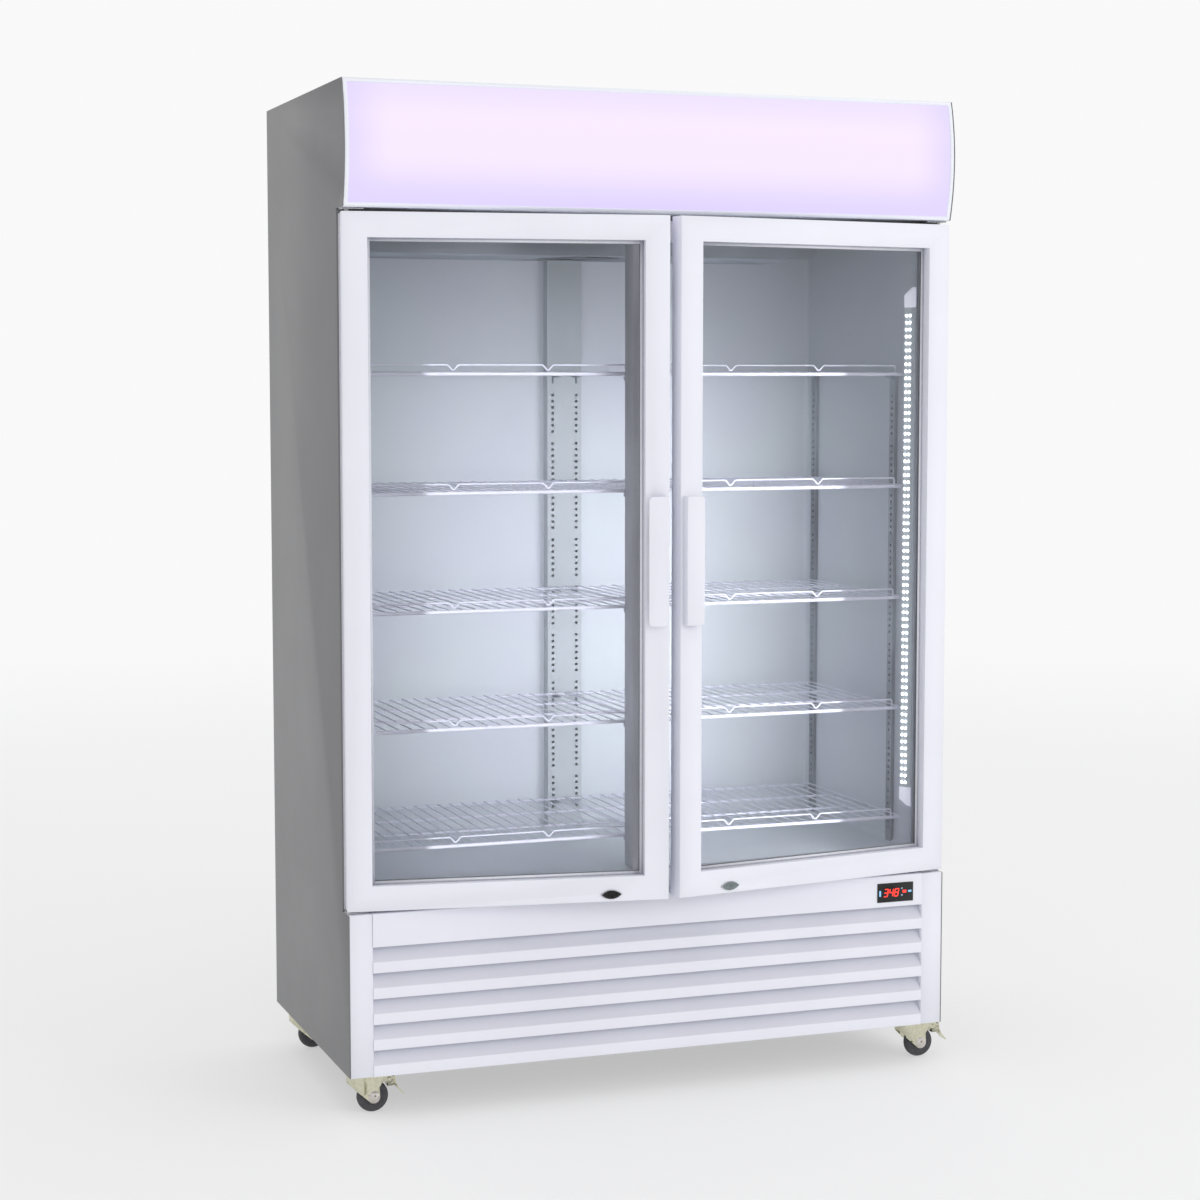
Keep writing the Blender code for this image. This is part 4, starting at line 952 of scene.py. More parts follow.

# Thin black bars on the cover's face, painted shade standing for the open air slots.
AIR_SLOT = (0.004, 0.070)
AIR_SLOTS, AIR_STEP = 42, 0.0195
SLOT_IN, SLOT_UP = 0.09, 0.075
slot_x, slot_z = cover_low.x + SLOT_IN, cover_low.z + SLOT_UP
slot_span = [(
    (slot_x, slot_x + AIR_SLOT[0]), (cover_low.y - 0.0005, cover_low.y + 0.001), (slot_z, slot_z + AIR_SLOT[1]),
)]
slot_start = softened(blocks_mesh("air_slot", slot_span), 0.0003, 1)
slots = grown(ROW, slot_start, count=AIR_SLOTS, step=(AIR_STEP, 0, 0), material=black_abs)
new_piece("cooler_air_slots", slots, None, "cabinet")

# %% [markdown]
# ## Strip lights
# Behind each door opening a wedge-shaped profile carries two columns of LED chips, turned towards
# the goods and the door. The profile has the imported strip's own section, the chips are scattered
# on its sloping face, and a white cap with a slanted end closes each end.

# %% LED strips
CHIP_PITCH = 0.0143
CHIP_RADIUS = 0.0030
CAP_LENGTH = 0.042
CAP_SLANT = 0.016
CHIP_COLUMNS = (0.28, 0.83)  # shares of the sloping face, from its front edge


def strip_face(side):
    """Two points on the sloping face, front and back edge, and the face's direction."""
    low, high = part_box(f"{side}_led_strip")
    sign = SIDES[side]
    corners = {(round(v.co.x, 5), round(v.co.y, 5)) for v in nodes[f"{side}_led_strip"].data.vertices}
    first = min(y for x, y in corners)
    front = Vector((*min((c for c in corners if c[1] < first + 1e-4), key=lambda c: c[0] * sign), 0))
    back = Vector((*min(corners, key=lambda c: (c[0] * sign, c[1])), 0))
    along = back - front
    facing = Vector((-sign * abs(along.y), -abs(along.x), 0)).normalized()
    return front, back, facing, low, high


def led_chips(side):
    front, back, facing, low, high = strip_face(side)
    rows = int((high.z - low.z - 2 * CAP_LENGTH) / CHIP_PITCH)
    points = []
    for i in range(rows):
        z = low.z + CAP_LENGTH + (i + 0.7) * CHIP_PITCH
        for share in CHIP_COLUMNS:
            points.append(front.lerp(back, share) + Vector((0, 0, z)) + facing * 0.0004)
    heads(f"{side}_led_chips", points, CHIP_RADIUS, 0.0016, facing, led_white, "cabinet")
    return len(points)


def prism(outline, lows, highs):
    """A closed upright prism whose ends may slope."""
    rings = [[(p.x, p.y, z) for p, z in zip(outline, ends)] for ends in (lows, highs)]
    return skinned("prism", rings, capped=True)


def end_cap(side, at_top):
    """A wedge a little fatter than the strip, its outer end cut on a slant."""
    front, back, facing, low, high = strip_face(side)
    sign = SIDES[side]
    wall = high.x if sign > 0 else low.x
    grow = facing * 0.0006
    outline = [
        Vector((wall, front.y, 0)), front + grow, back + grow, Vector((back.x + grow.x, high.y, 0)),
        Vector((wall, high.y, 0)),
    ]
    inner = high.z - CAP_LENGTH if at_top else low.z + CAP_LENGTH
    outer = high.z if at_top else low.z
    slant = -CAP_SLANT if at_top else CAP_SLANT
    ends = [outer + slant * abs(p.x - wall) / abs(back.x - wall) for p in outline]
    where = "upper" if at_top else "lower"
    mesh = softened(prism(outline, [inner] * len(outline), ends), 0.0008)
    new_piece(f"{side}_{where}_lamp_cap", mesh, lit_cap, "cabinet")


def lamp_profile(side):
    """The length between the caps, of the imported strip's own section."""
    front, back, _, low, high = strip_face(side)
    wall = high.x if SIDES[side] > 0 else low.x
    outline = [
        Vector((wall, front.y, 0)), front, back, Vector((back.x, high.y, 0)), Vector((wall, high.y, 0)),
    ]
    below = [low.z + CAP_LENGTH - 0.002] * len(outline)
    above = [high.z - CAP_LENGTH + 0.002] * len(outline)
    mesh = softened(prism(outline, below, above), 0.0006)
    made = new_piece(f"{side}_lamp_profile", mesh, lit_cover, "cabinet")
    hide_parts(f"{side}_led_strip")


for side in SIDES:
    lamp_profile(side)
    chips = led_chips(side)
    end_cap(side, True)
    end_cap(side, False)
print("chips on each side", chips)

# %% [markdown]
# ## The canopy
# A white bezel frames the opal panel. Its rim is folded sheet with a small radius, which shows as a
# fine bright line all round.

# %% Canopy bezel
eased("canopy_bezel", "canopy_housing", bezel_powder, width=0.0012)

# %% [markdown]
# ## The base
# Two corner posts and a panel of deep louvres, all powder-coated. The seams beside the panel are
# the real gaps between the pieces. Each louvre is a folded strip: a flat face, a lip that turns
# back under it, and a blade that leans back to a narrow slot below the next lip. `folded` rounds
# the corners of such a section, pulls it along X and gives it the thickness of sheet steel.

# %% Folded sheet
FOLD_RADIUS = 0.0012
FOLD_STEPS = 3


def rounded_corners(points, radius):
    """A path of (y, z) whose inner corners are arcs."""
    path = [Vector(points[0])]
    for before, corner, after in zip(points, points[1:], points[2:]):
        corner = Vector(corner)
        start = corner + (Vector(before) - corner).normalized() * radius
        end = corner + (Vector(after) - corner).normalized() * radius
        for i in range(FOLD_STEPS + 1):
            t = i / FOLD_STEPS
            path.append(start * (1 - t) ** 2 + corner * 2 * t * (1 - t) + end * t**2)
    return [*path, Vector(points[-1])]


def folded(name, section, low, high):
    """A sheet with a folded (y, z) section from X low to high."""
    path = rounded_corners(section, FOLD_RADIUS)
    corners = [(x, y, z) for y, z in path for x in (low, high)]
    faces = [(2 * i, 2 * i + 1, 2 * i + 3, 2 * i + 2) for i in range(len(path) - 1)]
    mesh = bpy.data.meshes.new(name)
    mesh.from_pydata(corners, [], faces)
    return shaded(walled(mesh, SHEET), 35)


# %% [markdown]
# The louvres' outer size comes from the imported panel, and each lip is set down from its top
# by the constants below. One louvre is folded and the row tree repeats it downwards.

# %% Louvred panel
LOUVRE_DEPTH = 0.0195
LOUVRE_RISE = 0.0296
LOUVRE_PITCH = 0.0506
FIRST_LIP = 0.064
LOUVRES = 5
AIR_GAP = 0.0045
PANEL_RETURN = 0.021
LIP_RETURN = LOUVRE_DEPTH - 0.002


def louvred_panel():
    low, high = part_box("louvre_panel")
    across = (low.x - 0.0002, high.x + 0.0002)
    y = low.y

    def section(points):
        return [(y + deep, z) for deep, z in points]

    lip = high.z - FIRST_LIP
    top = folded("top", section([
        (PANEL_RETURN, high.z), (0, high.z), (0, lip), (LIP_RETURN, lip),
    ]), *across)
    next_lip = lip - LOUVRE_PITCH
    blade = [(LOUVRE_DEPTH, lip - AIR_GAP), (0, lip - LOUVRE_RISE)]
    one = folded("louvre", section([*blade, (0, next_lip), (LIP_RETURN, next_lip)]), *across)
    rows = grown(ROW, one, count=LOUVRES - 1, step=(0, 0, -LOUVRE_PITCH), material=white_powder)
    drop = (LOUVRES - 1) * LOUVRE_PITCH
    last_blade = [(deep, z - drop) for deep, z in blade]
    last = folded("last", section([*last_blade, (0, low.z), (PANEL_RETURN, low.z)]), *across)
    mesh = joined("louvred_panel", [top, rows, last])
    made = new_piece("louvred_panel", mesh, white_powder, "cabinet")
    # The upward blades below the first lip take the darker copy of the coat, as painted shade in the recesses.
    mesh.materials.append(louvre_painted_shade)
    for face in mesh.polygons:
        if face.normal.z > 0.3 and face.center.z < lip:
            face.material_index = 1
    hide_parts("louvre_panel")


eased("corner_posts", "base_frame", white_powder, width=0.0005)
louvred_panel()

# %% [markdown]
# ## The controller
# A black thermostat with a smoked window. Its digits are seven-segment bars, leaning a little, and
# each lit segment is a small glowing block. The figures are arbitrary.

# %% Seven segments
SEGMENTS = {
    # the lit bars of a figure: top, upper left, upper right, middle, lower left, lower right, bottom
    "3": (1, 0, 1, 1, 0, 1, 1), "4": (0, 1, 1, 1, 0, 1, 0),
    "8": (1, 1, 1, 1, 1, 1, 1),
}
DIGIT = (0.0078, 0.0150)
STROKE = 0.0020
LEAN = math.tan(math.radians(10))


def segment_spans(figure, x, z):
    wide, high = DIGIT
    s = STROKE / 2
    bars = (
        ((0, wide), (high - s, high + s)), ((-s, s), (high / 2, high)), ((wide - s, wide + s), (high / 2, high)),
        ((0, wide), (high / 2 - s, high / 2 + s)), ((-s, s), (0, high / 2)), ((wide - s, wide + s), (0, high / 2)),
        ((0, wide), (-s, s)),
    )
    lit = [bar for bar, on in zip(bars, SEGMENTS[figure]) if on]
    return [((x + a[0], x + a[1]), (z + b[0], z + b[1])) for a, b in lit]


# %% [markdown]
# The display's marks are placed in shares of the window's width: a blue bar at the left, the
# figures, two small chevrons, a red mark and a blue mark.

# %% Controller face
eased("controller_case", "controller", black_abs, width=0.0015, segments=3)
ctrl_low, ctrl_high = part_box("controller")
face_y = ctrl_low.y
ctrl_wide = ctrl_high.x - ctrl_low.x
ctrl_middle = (ctrl_low.z + ctrl_high.z) / 2


def lit_marks(name, spans, material, lean=False):
    blocks = [(x, (face_y - 0.0004, face_y + 0.0006), z) for x, z in spans]
    mesh = blocks_mesh(name, blocks)
    if lean:
        for vertex in mesh.vertices:
            vertex.co.x += (vertex.co.z - ctrl_middle) * LEAN
    return new_piece(name, softened(mesh, 0.0002, 1), material, "cabinet")


figures = []
for place, figure in enumerate("348"):
    x = ctrl_low.x + (0.19 + 0.145 * place) * ctrl_wide
    figures += segment_spans(figure, x, ctrl_middle - DIGIT[1] / 2)
lit_marks("display_figures", figures, digit_red, lean=True)


def share_span(low, high, middle_z, height):
    x = (ctrl_low.x + low * ctrl_wide, ctrl_low.x + high * ctrl_wide)
    return x, (ctrl_middle + middle_z - height / 2, ctrl_middle + middle_z + height / 2)


lit_marks("display_red_mark", [share_span(0.70, 0.80, 0.001, 0.0055)], digit_red)
lit_marks("display_blue_marks", [share_span(0.045, 0.095, -0.001, 0.012), share_span(0.85, 0.945, 0.001, 0.004)],
          mark_blue)
lit_marks("display_keys", [share_span(0.655, 0.70, 0.0075, 0.0035), share_span(0.655, 0.70, -0.0065, 0.0035)],
          mark_grey)

# %% [markdown]
# ## Door frames, handles and seals
# A door swings on its hinge joint, and stands ajar at rest. The joint's closed limit says by how
# much, so the door's own frame of reference comes from there: X runs from the pin to the free edge,
# Y into the cabinet. Pieces are built in that frame and then turned into place.

# %% The doors' own frame
GLASS_BITE = 0.009
PANE = 0.004


def door_place(side):
    joint = joints[f"{side}_door_hinge"]
    ajar = -math.radians(joint["range_deg"][0])
    x, y, z = joint["pos_m"]
    return Matrix.Translation((x, y, 0)) @ Matrix.Rotation(SIDES[side] * ajar, 4, "Z")


def local_box(node, place):
    back = place.inverted()
    points = [back @ vertex.co for vertex in nodes[node].data.vertices]
    low = Vector([min(p[i] for p in points) for i in range(3)])
    high = Vector([max(p[i] for p in points) for i in range(3)])
    return low, high


def ring_spans(low, high, width, y):
    """Four blocks round a rectangle from low to high, inside it by width."""
    xs, zs = (low[0], high[0]), (low[1], high[1])
    return [
        ((xs[0], xs[0] + width), y, zs), ((xs[1] - width, xs[1]), y, zs),
        ((xs[0] + width, xs[1] - width), y, (zs[0], zs[0] + width)),
        ((xs[0] + width, xs[1] - width), y, (zs[1] - width, zs[1])),
    ]


# %% [markdown]
# The sealed unit is two panes with a spacer between them. In front of it a thin white bead covers
# the sealant, and the grey spacer shows just inside the bead. All are rings or plates in the door's
# own frame.

# %% Glazing
BEAD_WIDTH = 0.0060
SPACER_WIDTH = 0.0067


def door_piece(side, name, spans, material, ease=0.0004):
    mesh = softened(blocks_mesh(name, spans), ease, 1) if ease else blocks_mesh(name, spans)
    mesh.transform(door_place(side))
    return new_piece(f"{side}_{name}", mesh, material, f"{side}_door")


def glazing(side):
    place = door_place(side)
    low, high = local_box(f"{side}_door_glass", place)
    plate = ((low.x, high.x), (low.z, high.z))
    spans = []
    for start in (low.y, high.y - PANE):
        spans.append((plate[0], (start, start + PANE), plate[1]))
    made = door_piece(side, "glass_panes", spans, pane_glass, 0)
    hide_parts(f"{side}_door_glass")
    sight = (low.x + GLASS_BITE, low.z + GLASS_BITE), (high.x - GLASS_BITE, high.z - GLASS_BITE)
    bead = ring_spans(*sight, BEAD_WIDTH, (low.y - 0.0022, low.y - 0.0002))
    door_piece(side, "glazing_bead", bead, white_pvc)
    rear_bead = ring_spans(*sight, BEAD_WIDTH, (high.y + 0.0002, high.y + 0.0016))
    door_piece(side, "rear_glazing_bead", rear_bead, white_pvc)
    spacer = ring_spans(*sight, SPACER_WIDTH, (low.y + PANE + 0.0002, high.y - PANE - 0.0002))
    door_piece(side, "glass_spacer", spacer, grey_spacer, 0)


# %% [markdown]
# A magnetic gasket is a soft bellows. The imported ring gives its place, and easing it heavily turns
# its square section into the rounded one of the real profile.

# %% Frames, seals, handles
for side in SIDES:
    body = f"{side}_door"
    eased(f"{side}_door_rails", f"{side}_door_frame", white_powder, body, 0.0014, 3)
    eased(f"{side}_door_seal", f"{side}_door_gasket", soft_pvc, body, 0.0030, 3)
    eased(f"{side}_pull_handle", f"{side}_door_handle", white_powder, body, 0.0016, 3)
    glazing(side)

# %% [markdown]
# ## Locks
# Each lower rail has a small lock under a leaf-shaped escutcheon, a plate bounded by two arcs with
# a gently domed face. Both locks are the same nickel: the left one is painted dark and the right one
# mid grey, as painted reflections of what each one mirrors.

# %% Escutcheons
LEAF = (0.0430, 0.0182)
LEAF_PROUD = 0.0030


def leaf_outline(steps=10):
    length, height = LEAF
    radius = ((length / 2) ** 2 + (height / 2) ** 2) / height
    reach = math.asin(length / 2 / radius)
    points = []
    for sign in (1, -1):
        for i in range(steps):
            angle = sign * (reach - 2 * reach * i / steps)
            z = sign * (radius * math.cos(angle) - radius + height / 2)
            points.append((radius * math.sin(angle), z))
    return points


def escutcheon(side, material):
    """The leaf as a low dome: its outline, a raised inner outline and a hole for the barrel."""
    place = door_place(side)
    low, high = local_box(f"{side}_lock_cylinder", place)
    rails_high = local_box(f"{side}_door_handle", place)[1]
    middle = ((low.x + high.x) / 2, (low.z + high.z) / 2)
    face = rails_high.y
    barrel = 0.0058
    outline = leaf_outline()
    shape = bmesh.new()
    rings = []
    for y, share in ((face + 0.002, 1.0), (face - 0.0012, 1.0), (face - LEAF_PROUD, 0.86)):
        rings.append([shape.verts.new((middle[0] + x * share, y, middle[1] + z * share)) for x, z in outline])
    for y in (face - LEAF_PROUD - 0.0004, face + 0.002):
        ring = []
        for x, z in outline:
            away = math.hypot(x, z)
            ring.append(shape.verts.new((middle[0] + x / away * barrel, y, middle[1] + z / away * barrel)))
        rings.append(ring)
    rings.append(rings[0])
    for first, second in zip(rings, rings[1:]):
        for i in range(len(outline)):
            j = (i + 1) % len(outline)
            shape.faces.new((first[i], first[j], second[j], second[i]))
    bmesh.ops.recalc_face_normals(shape, faces=shape.faces)
    mesh = bpy.data.meshes.new("escutcheon")
    shape.to_mesh(mesh)
    shape.free()
    mesh.shade_smooth()
    mesh.set_sharp_from_angle(angle=math.radians(35))
    mesh.transform(place)
    new_piece(f"{side}_escutcheon", mesh, material, f"{side}_door")
    nodes[f"{side}_lock_cylinder"].data.materials.clear()
    nodes[f"{side}_lock_cylinder"].data.materials.append(material)


# The same nickel on both locks, each in its own painted reflection: dark on the left, mid grey on the right.
escutcheon("left", black_nickel)
escutcheon("right", nickel_painted_pale_reflection)

# %% [markdown]
# ## Hinges
# A zinc-plated plate above and below each door carries the pin. They show only as glints in the
# gaps, but they are on view when a door is open.

# %% Hinges
for side in SIDES:
    for where in ("top", "bottom"):
        eased(f"{side}_{where}_hinge_plate", f"{side}_{where}_hinge", bright_zinc, width=0.0005)

# %% [markdown]
# ## Casters
# The fork is pressed steel: a round drum over the swivel bearing, and two cheeks down to the axle.
# The wheel is a turned shape, so it is a profile spun round its axle: a grooved rubber tyre and a
# plain hub. A nickel cap covers each end of the axle.

# %% Wheels and forks
TYRE_PROFILE = (
    # radius and half width, from the hub out to the tread
    (0.0045, 0.0102), (0.0120, 0.0102), (0.0135, 0.0090), (0.0180, 0.0090), (0.0192, 0.0096),
    (0.0215, 0.0098), (0.0225, 0.0092), (0.0250, 0.0098), (0.0280, 0.0086), (0.0300, 0.0064),
    (0.0312, 0.0034), (0.0315, 0.0000),
)


def spun(profile, middle, steps=56):
    """A profile of (radius, offset along Y) spun round Y into a closed ring."""
    shape = bmesh.new()
    rings = []
    for i in range(steps):
        angle = 2 * math.pi * i / steps
        ring = []
        for radius, y in profile:
            offset = Vector((radius * math.cos(angle), y, radius * math.sin(angle)))
            ring.append(shape.verts.new(middle + offset))
        rings.append(ring)
    for i in range(steps):
        first, second = rings[i], rings[(i + 1) % steps]
        for j in range(len(profile)):
            k = (j + 1) % len(profile)
            shape.faces.new((first[j], first[k], second[k], second[j]))
    bmesh.ops.recalc_face_normals(shape, faces=shape.faces)
    mesh = bpy.data.meshes.new("spun")
    shape.to_mesh(mesh)
    shape.free()
    mesh.shade_smooth()
    mesh.set_sharp_from_angle(angle=math.radians(40))
    return mesh


# %% [markdown]
# The fork is built from its own bent sheet. In plan its drum runs as a half round behind the
# swivel axis and turns in to the flat cheeks, and its lower edge slopes down to the axle. The
# cheeks reach to the axle, and on the braked casters on to the pedal's pin. All measures count from
# the swivel axis and the axle, which the joints and the wheel give.

# %% Fork
DRUM = 0.029
DRUM_DROP = (0.0295, math.tan(math.radians(41)))
CHEEK_HALF = 0.0155
CHEEK_SHEET = 0.0028
PEDAL_PIN_AT = (0.0305, 0.0345)


def arc_points(centre, radius, start, end, steps):
    angles = [math.radians(start + (end - start) * i / steps) for i in range(steps + 1)]
    return [(centre[0] + radius * math.cos(a), centre[1] + radius * math.sin(a)) for a in angles]


def plate(outline, y_low, y_high):
    """A closed plate with an (x, z) outline between two Y planes."""
    shape = bmesh.new()
    near = [shape.verts.new((x, y_low, z)) for x, z in outline]
    far = [shape.verts.new((x, y_high, z)) for x, z in outline]
    shape.faces.new(near)
    shape.faces.new(list(reversed(far)))
    for i in range(len(outline)):
        j = (i + 1) % len(outline)
        shape.faces.new((near[j], near[i], far[i], far[j]))
    bmesh.ops.recalc_face_normals(shape, faces=shape.faces)
    mesh = bpy.data.meshes.new("plate")
    shape.to_mesh(mesh)
    shape.free()
    return mesh


def cheek_outline(axle, top, swivel_x, braked):
    x, z = axle
    points = [(swivel_x - 0.012, top), (swivel_x - 0.012, z + 0.0135)]
    points += [*arc_points(axle, 0.0125, 215, 360, 8), (x + 0.0115, z + 0.0185)]
    if not braked:
        return [*points, (x + 0.010, z + 0.0345), (x - 0.002, top)]
    px, pz = x + PEDAL_PIN_AT[0], z + PEDAL_PIN_AT[1]
    pin = arc_points((px, pz), 0.0060, 270, 360, 5)
    return [*points, (px - 0.0125, pz - 0.0045), *pin, (px + 0.004, top - 0.004), (px - 0.006, top)]


def drum_wall(swivel, axle_z, top):
    """The half-round wall, its ends turned in to the cheeks, down to the sloping edge."""
    plan = [(0.0, -CHEEK_HALF)] + [(x, y) for x, y in arc_points((0, 0), DRUM, 268, 92, 32)] + [(0.0, CHEEK_HALF)]
    edge, slope = DRUM_DROP
    corners = []
    for x, y in plan:
        low = axle_z + edge - (x + DRUM) * slope
        corners += [(swivel[0] + x, swivel[1] + y, low), (swivel[0] + x, swivel[1] + y, top)]
    faces = [(2 * i, 2 * i + 1, 2 * i + 3, 2 * i + 2) for i in range(len(plan) - 1)]
    mesh = bpy.data.meshes.new("drum")
    mesh.from_pydata(corners, [], faces)
    made = bpy.data.objects.new("drum", mesh)
    bpy.context.scene.collection.objects.link(made)
    wall = made.modifiers.new("wall", "SOLIDIFY")
    wall.thickness = 0.002
    wall.offset = -1
    return evaluated(made)


def fork(name, middle, braked):
    swivel = joints[f"{name}_swivel"]["pos_m"]
    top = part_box(f"{name}_caster_fork")[1].z
    top = min(top, BODY_LOW - 0.0003)
    axle = (middle.x, middle.z)
    outline = cheek_outline(axle, top, swivel[0], braked)
    near = plate(outline, middle.y - CHEEK_HALF, middle.y - CHEEK_HALF + CHEEK_SHEET)
    far = plate(outline, middle.y + CHEEK_HALF - CHEEK_SHEET, middle.y + CHEEK_HALF)
    disc = [(0.0001, -0.003), (DRUM - 0.001, -0.003), (DRUM - 0.0002, -0.0015), (DRUM - 0.0002, 0.0), (0.0001, 0.0)]
    cover = spun(disc, Vector((0, 0, 0)), 48)
    turn = Matrix.Rotation(math.radians(90), 4, "X")
    cover.transform(Matrix.Translation((swivel[0], swivel[1], top)) @ turn)
    pieces = [softened(near, 0.0006), softened(far, 0.0006), softened(drum_wall(swivel, middle.z, top), 0.0005, 2, 40)]
    pieces.append(cover)
    if braked:
        pin = Vector((axle[0] + PEDAL_PIN_AT[0], middle.y, axle[1] + PEDAL_PIN_AT[1]))
        reach = CHEEK_HALF + 0.0014
        head = [(0.0001, -reach - 0.0004), (0.0030, -reach), (0.0042, -CHEEK_HALF), (0.0030, -CHEEK_HALF),
                (0.0030, CHEEK_HALF), (0.0042, CHEEK_HALF), (0.0030, reach), (0.0001, reach + 0.0004)]
        pieces.append(spun(head, pin, 24))
    made = new_piece(f"{name}_fork", joined(name, pieces), zinc_plate, f"{name}_caster")
    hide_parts(f"{name}_caster_fork")


# %% [markdown]
# ## Putting a caster together
# The tyre's profile is spun, and a domed nickel cap closes each end of the axle.

# %% Casters


def caster(name):
    low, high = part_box(f"{name}_caster_wheel")
    middle = (low + high) / 2
    fork(name, middle, name.startswith("front"))
    section = list(TYRE_PROFILE) + [(radius, -y) for radius, y in reversed(TYRE_PROFILE[:-1])]
    wheel = new_piece(f"{name}_tyre", spun(section, middle), tyre_rubber, f"{name}_wheel")
    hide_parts(f"{name}_caster_wheel")
    low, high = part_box(f"{name}_caster_fork")
    for where, y, out in (("near", low.y + 0.0, -1), ("far", high.y, 1)):
        cheek = middle.y + out * 0.0155
        cap = [(0.0002, out * 0.0205 - 0.0), (0.0055, out * 0.0200), (0.0085, out * 0.0185), (0.0120, out * 0.0160),
               (0.0120, out * 0.0150), (0.0002, out * 0.0150)]
        made = spun(cap, middle, 32)
        new_piece(f"{name}_{where}_axle_cap", made, nickel, f"{name}_caster")


for name in ("front_left", "front_right", "rear_left", "rear_right"):
    caster(name)
for name in ("front_left", "front_right"):
    smoothed(f"{name}_pedal", f"{name}_brake_pedal", zinc_plate, f"{name}_brake")

# %% [markdown]
# ## The back
# Nobody sees the back in a shop, but a reusable model is turned round. Above is one plain sheet.
# Below it, the machine space breathes through a panel of punched slots, made as the standards are,
# with a row of screws along its edges.

# %% Rear sheet and grille
GRILLE_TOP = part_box("base_frame")[1].z - 0.006
SHEET_OUT = 0.0012


def rear_sheet():
    half = INNER - 0.0005
    low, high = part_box("rear_wall")
    spans = [((MIDDLE - half, MIDDLE + half), (REAR, BACK - SHEET_OUT), (low.z, high.z)),
             ((MIDDLE - half, MIDDLE + half), (BACK - 0.003, BACK), (GRILLE_TOP + 0.004, high.z))]
    made = new_piece("rear_sheet", softened(blocks_mesh("rear_sheet", spans), 0.0006), grey_powder, "cabinet")
    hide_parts("rear_wall")


def rear_grille():
    """Columns of punched slots across the machine space, on a sheet with a plain border."""
    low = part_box("rear_wall")[0]
    border = 0.030
    half = INNER - 0.0005
    slot, web = (0.052, 0.005), (0.014, 0.0075)
    columns = int((2 * half - 2 * border) / (slot[0] + web[0]))
    rows = int((GRILLE_TOP - low.z - 2 * border) / (slot[1] + web[1]))
    across = [-half]
    first = -(columns * (slot[0] + web[0]) - web[0]) / 2
    for i in range(columns):
        across += [first + i * (slot[0] + web[0]), first + i * (slot[0] + web[0]) + slot[0]]
    across.append(half)
    pitch = slot[1] + web[1]
    corners = [(x, 0, z) for z in (0, web[1], pitch) for x in across]
    faces = []
    for j in range(2):
        for i in range(len(across) - 1):
            if i % 2 and j:
                continue
            corner = j * len(across) + i
            faces.append((corner, corner + 1, corner + 1 + len(across), corner + len(across)))
    unit = bpy.data.meshes.new("grille_row")
    unit.from_pydata(corners, [], faces)
    mesh = grown(ROW, unit, count=rows, step=(0, 0, pitch), material=grey_powder)
    shape = bmesh.new()
    shape.from_mesh(mesh)
    start = (GRILLE_TOP - low.z - rows * pitch) / 2
    bmesh.ops.translate(shape, verts=shape.verts, vec=(0, 0, start))
    for bottom, top in ((0, start), (start + rows * pitch, GRILLE_TOP - low.z)):
        edge = [(-half, 0, bottom), (half, 0, bottom), (half, 0, top), (-half, 0, top)]
        shape.faces.new([shape.verts.new(corner) for corner in edge])
    shape.to_mesh(mesh)
    shape.free()
    made = bpy.data.objects.new("grille", mesh)
    bpy.context.scene.collection.objects.link(made)
    wall = made.modifiers.new("wall", "SOLIDIFY")
    wall.thickness = SHEET_OUT - 0.0002
    wall.offset = 1
    result = evaluated(made)
    result.transform(Matrix.Translation((MIDDLE, BACK - SHEET_OUT + 0.0001, low.z)))
    new_piece("rear_grille", result, grey_powder, "cabinet")
    print("grille slots", columns * rows)


rear_sheet()
rear_grille()
screws = []
for i in range(9):
    x = MIDDLE - INNER + 0.012 + i * (2 * INNER - 0.024) / 8
    for z in (GRILLE_TOP - 0.012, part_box("rear_wall")[0].z + 0.012, BODY_TOP - 0.060):
        screws.append((x, BACK, z))
heads("rear_screws", screws, 0.0045, 0.0020, (0, 1, 0), bright_zinc, "cabinet")

# %% [markdown]
# ## Light and floor
# The setting is a white room without walls. A white world lights everything evenly, and one broad
# lamp from the front right casts the soft shadow. The world is dimmer to the left, which gives the
# cabinet its shaded side, and a dark patch in it, as a black flag in a studio, gives the metal
# something to mirror. Behind the object the backdrop stays plain. The floor is a wide sheet of matt paper. Far away
# it turns into plain light, so that no horizon shows. Nothing here is part of the object.

# %% Floor, lamps and world
FLOOR_HALF = 60.0
FADE_FROM, FADE_TO = 3.0, 9.0
WORLD_LIGHT = 0.95
KEY_POWER = 50
BAY_POWER = {"left": 1.25, "right": 2.05}
BAY_DROP = {"left": 0.07, "right": 0.15}
BAY_MIDDLE = 0.27
DIM_SIDE = Vector((-1.0, -0.1, 0.0)).normalized()
DIM_LIGHT = 0.82
FLAG_TURN = math.radians(20)  # from straight ahead towards +X
FLAG_HALF = math.radians(13)
FLAG_LIGHT = 0.12
SHADOW_LIFT = 0.50  # share of the floor's own light, as on a lit table


def paper_floor():
    mesh = blocks_mesh("floor", [((-FLOOR_HALF, FLOOR_HALF), (-FLOOR_HALF, FLOOR_HALF), (-0.02, 0.0))])
    made = bpy.data.objects.new("paper_floor", mesh)
    bpy.context.scene.collection.objects.link(made)
    paper, tree, shader, place = surface("studio_paper", "#F0F0F1", 0.9)
    away = add(tree, "ShaderNodeVectorMath", {0: place}, operation="LENGTH").outputs["Value"]
    fade = add(tree, "ShaderNodeMapRange", {
        "Value": away, "From Min": FADE_FROM, "From Max": FADE_TO,
    }, interpolation_type="SMOOTHSTEP").outputs["Result"]
    light = add(tree, "ShaderNodeEmission", {"Color": linear("#FFFFFF"), "Strength": WORLD_LIGHT})
    soft = add(tree, "ShaderNodeMapRange", {"Value": fade, "To Min": SHADOW_LIFT}).outputs["Result"]
    inputs = {0: soft, 1: shader.outputs["BSDF"], 2: light.outputs["Emission"]}
    mix = add(tree, "ShaderNodeMixShader", inputs)
    tree.links.new(mix.outputs["Shader"], tree.nodes["Material Output"].inputs["Surface"])
    mesh.materials.append(paper)


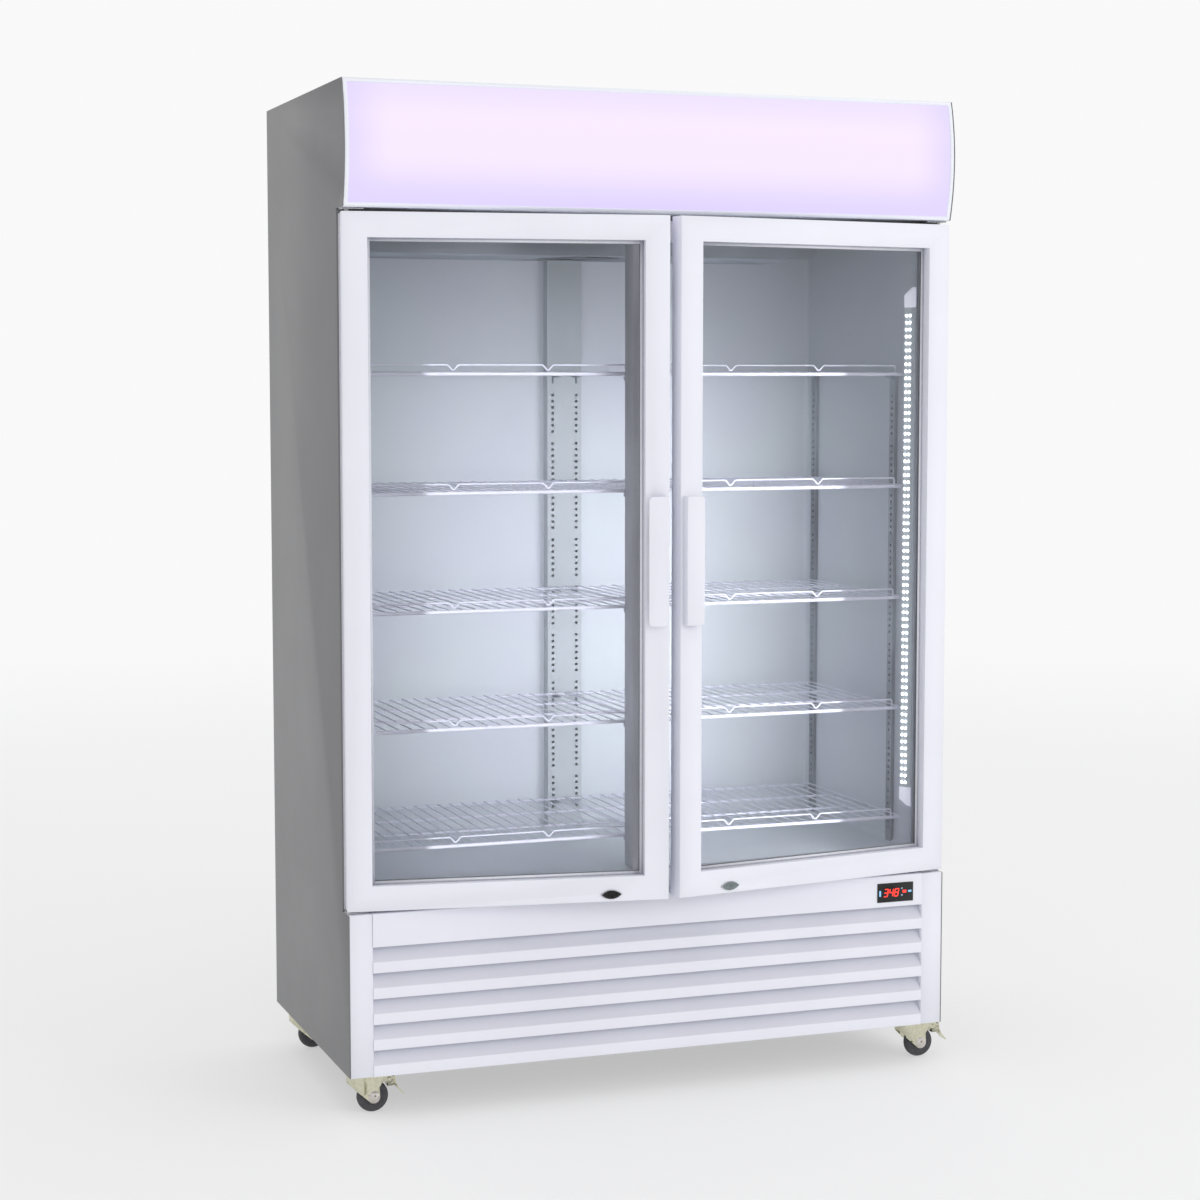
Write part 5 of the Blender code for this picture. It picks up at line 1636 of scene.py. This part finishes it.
def lamp(name, location, target, size, power, colour="#FFFFFF"):
    light = bpy.data.lights.new(name, "AREA")
    light.shape = "RECTANGLE"
    light.size, light.size_y = size
    light.energy = power
    light.color = linear(colour)[:3]
    made = bpy.data.objects.new(name, light)
    made.location = location
    made.rotation_euler = (Vector(target) - Vector(location)).to_track_quat("-Z", "Y").to_euler()
    bpy.context.scene.collection.objects.link(made)
    return made


paper_floor()
key = lamp("key_softbox", (2.9, -4.6, 2.3), (0, 0, 1.0), (2.0, 2.0), KEY_POWER)
key.visible_glossy = False
lit_by_strips = bpy.data.collections.new("lit_by_strips")
lit = ["inner_liner", "slotted_rear_standard", "center_post"]
lit += [f"{side}_wire_shelf_{number}" for side in SIDES for number in range(1, 6)]
for name in lit:
    lit_by_strips.objects.link(bpy.data.objects[name])
low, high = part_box("left_led_strip")
for side, sign in SIDES.items():
    # the strips' light on the sheets behind the goods, as one broad lamp for each bay
    place = (MIDDLE + sign * BAY_MIDDLE, FACE + 0.02, (low.z + high.z) / 2 - BAY_DROP[side])
    target = (place[0] - sign * 0.05, REAR, place[2])
    made = lamp(f"{side}_bay_light", place, target, (0.36, 1.05), BAY_POWER[side], "#F6F9FF")
    made.visible_camera = False
    made.visible_glossy = False
    made.data.spread = math.radians(100)
    made.light_linking.receiver_collection = lit_by_strips
world = bpy.data.worlds.new("studio")
bpy.context.scene.world = world
world.use_nodes = True
sky = world.node_tree
view = add(sky, "ShaderNodeTexCoord").outputs["Generated"]
to_flag = Vector((math.sin(FLAG_TURN), -math.cos(FLAG_TURN), 0))
toward = add(sky, "ShaderNodeVectorMath", {0: view, 1: tuple(to_flag)}, operation="DOT_PRODUCT").outputs["Value"]
dark = add(sky, "ShaderNodeMapRange", {
    "Value": toward, "From Min": math.cos(FLAG_HALF * 1.5), "From Max": math.cos(FLAG_HALF * 0.6),
    "To Min": WORLD_LIGHT, "To Max": FLAG_LIGHT,
}, interpolation_type="SMOOTHSTEP").outputs["Result"]
leftward = add(sky, "ShaderNodeVectorMath", {0: view, 1: tuple(DIM_SIDE)}, operation="DOT_PRODUCT").outputs["Value"]
dim = add(sky, "ShaderNodeMapRange", {
    "Value": leftward, "From Min": 0.0, "From Max": 0.7, "To Min": 1.0, "To Max": DIM_LIGHT,
}, interpolation_type="SMOOTHSTEP").outputs["Result"]
shaded = add(sky, "ShaderNodeMath", {0: dark, 1: dim}, operation="MULTIPLY").outputs["Value"]
seen = add(sky, "ShaderNodeLightPath").outputs["Is Camera Ray"]
strength = add(sky, "ShaderNodeMapRange", {"Value": seen, "To Min": shaded, "To Max": WORLD_LIGHT}).outputs["Result"]
sky.nodes["Background"].inputs["Color"].default_value = linear("#FFFFFF")
sky.links.new(strength, sky.nodes["Background"].inputs["Strength"])
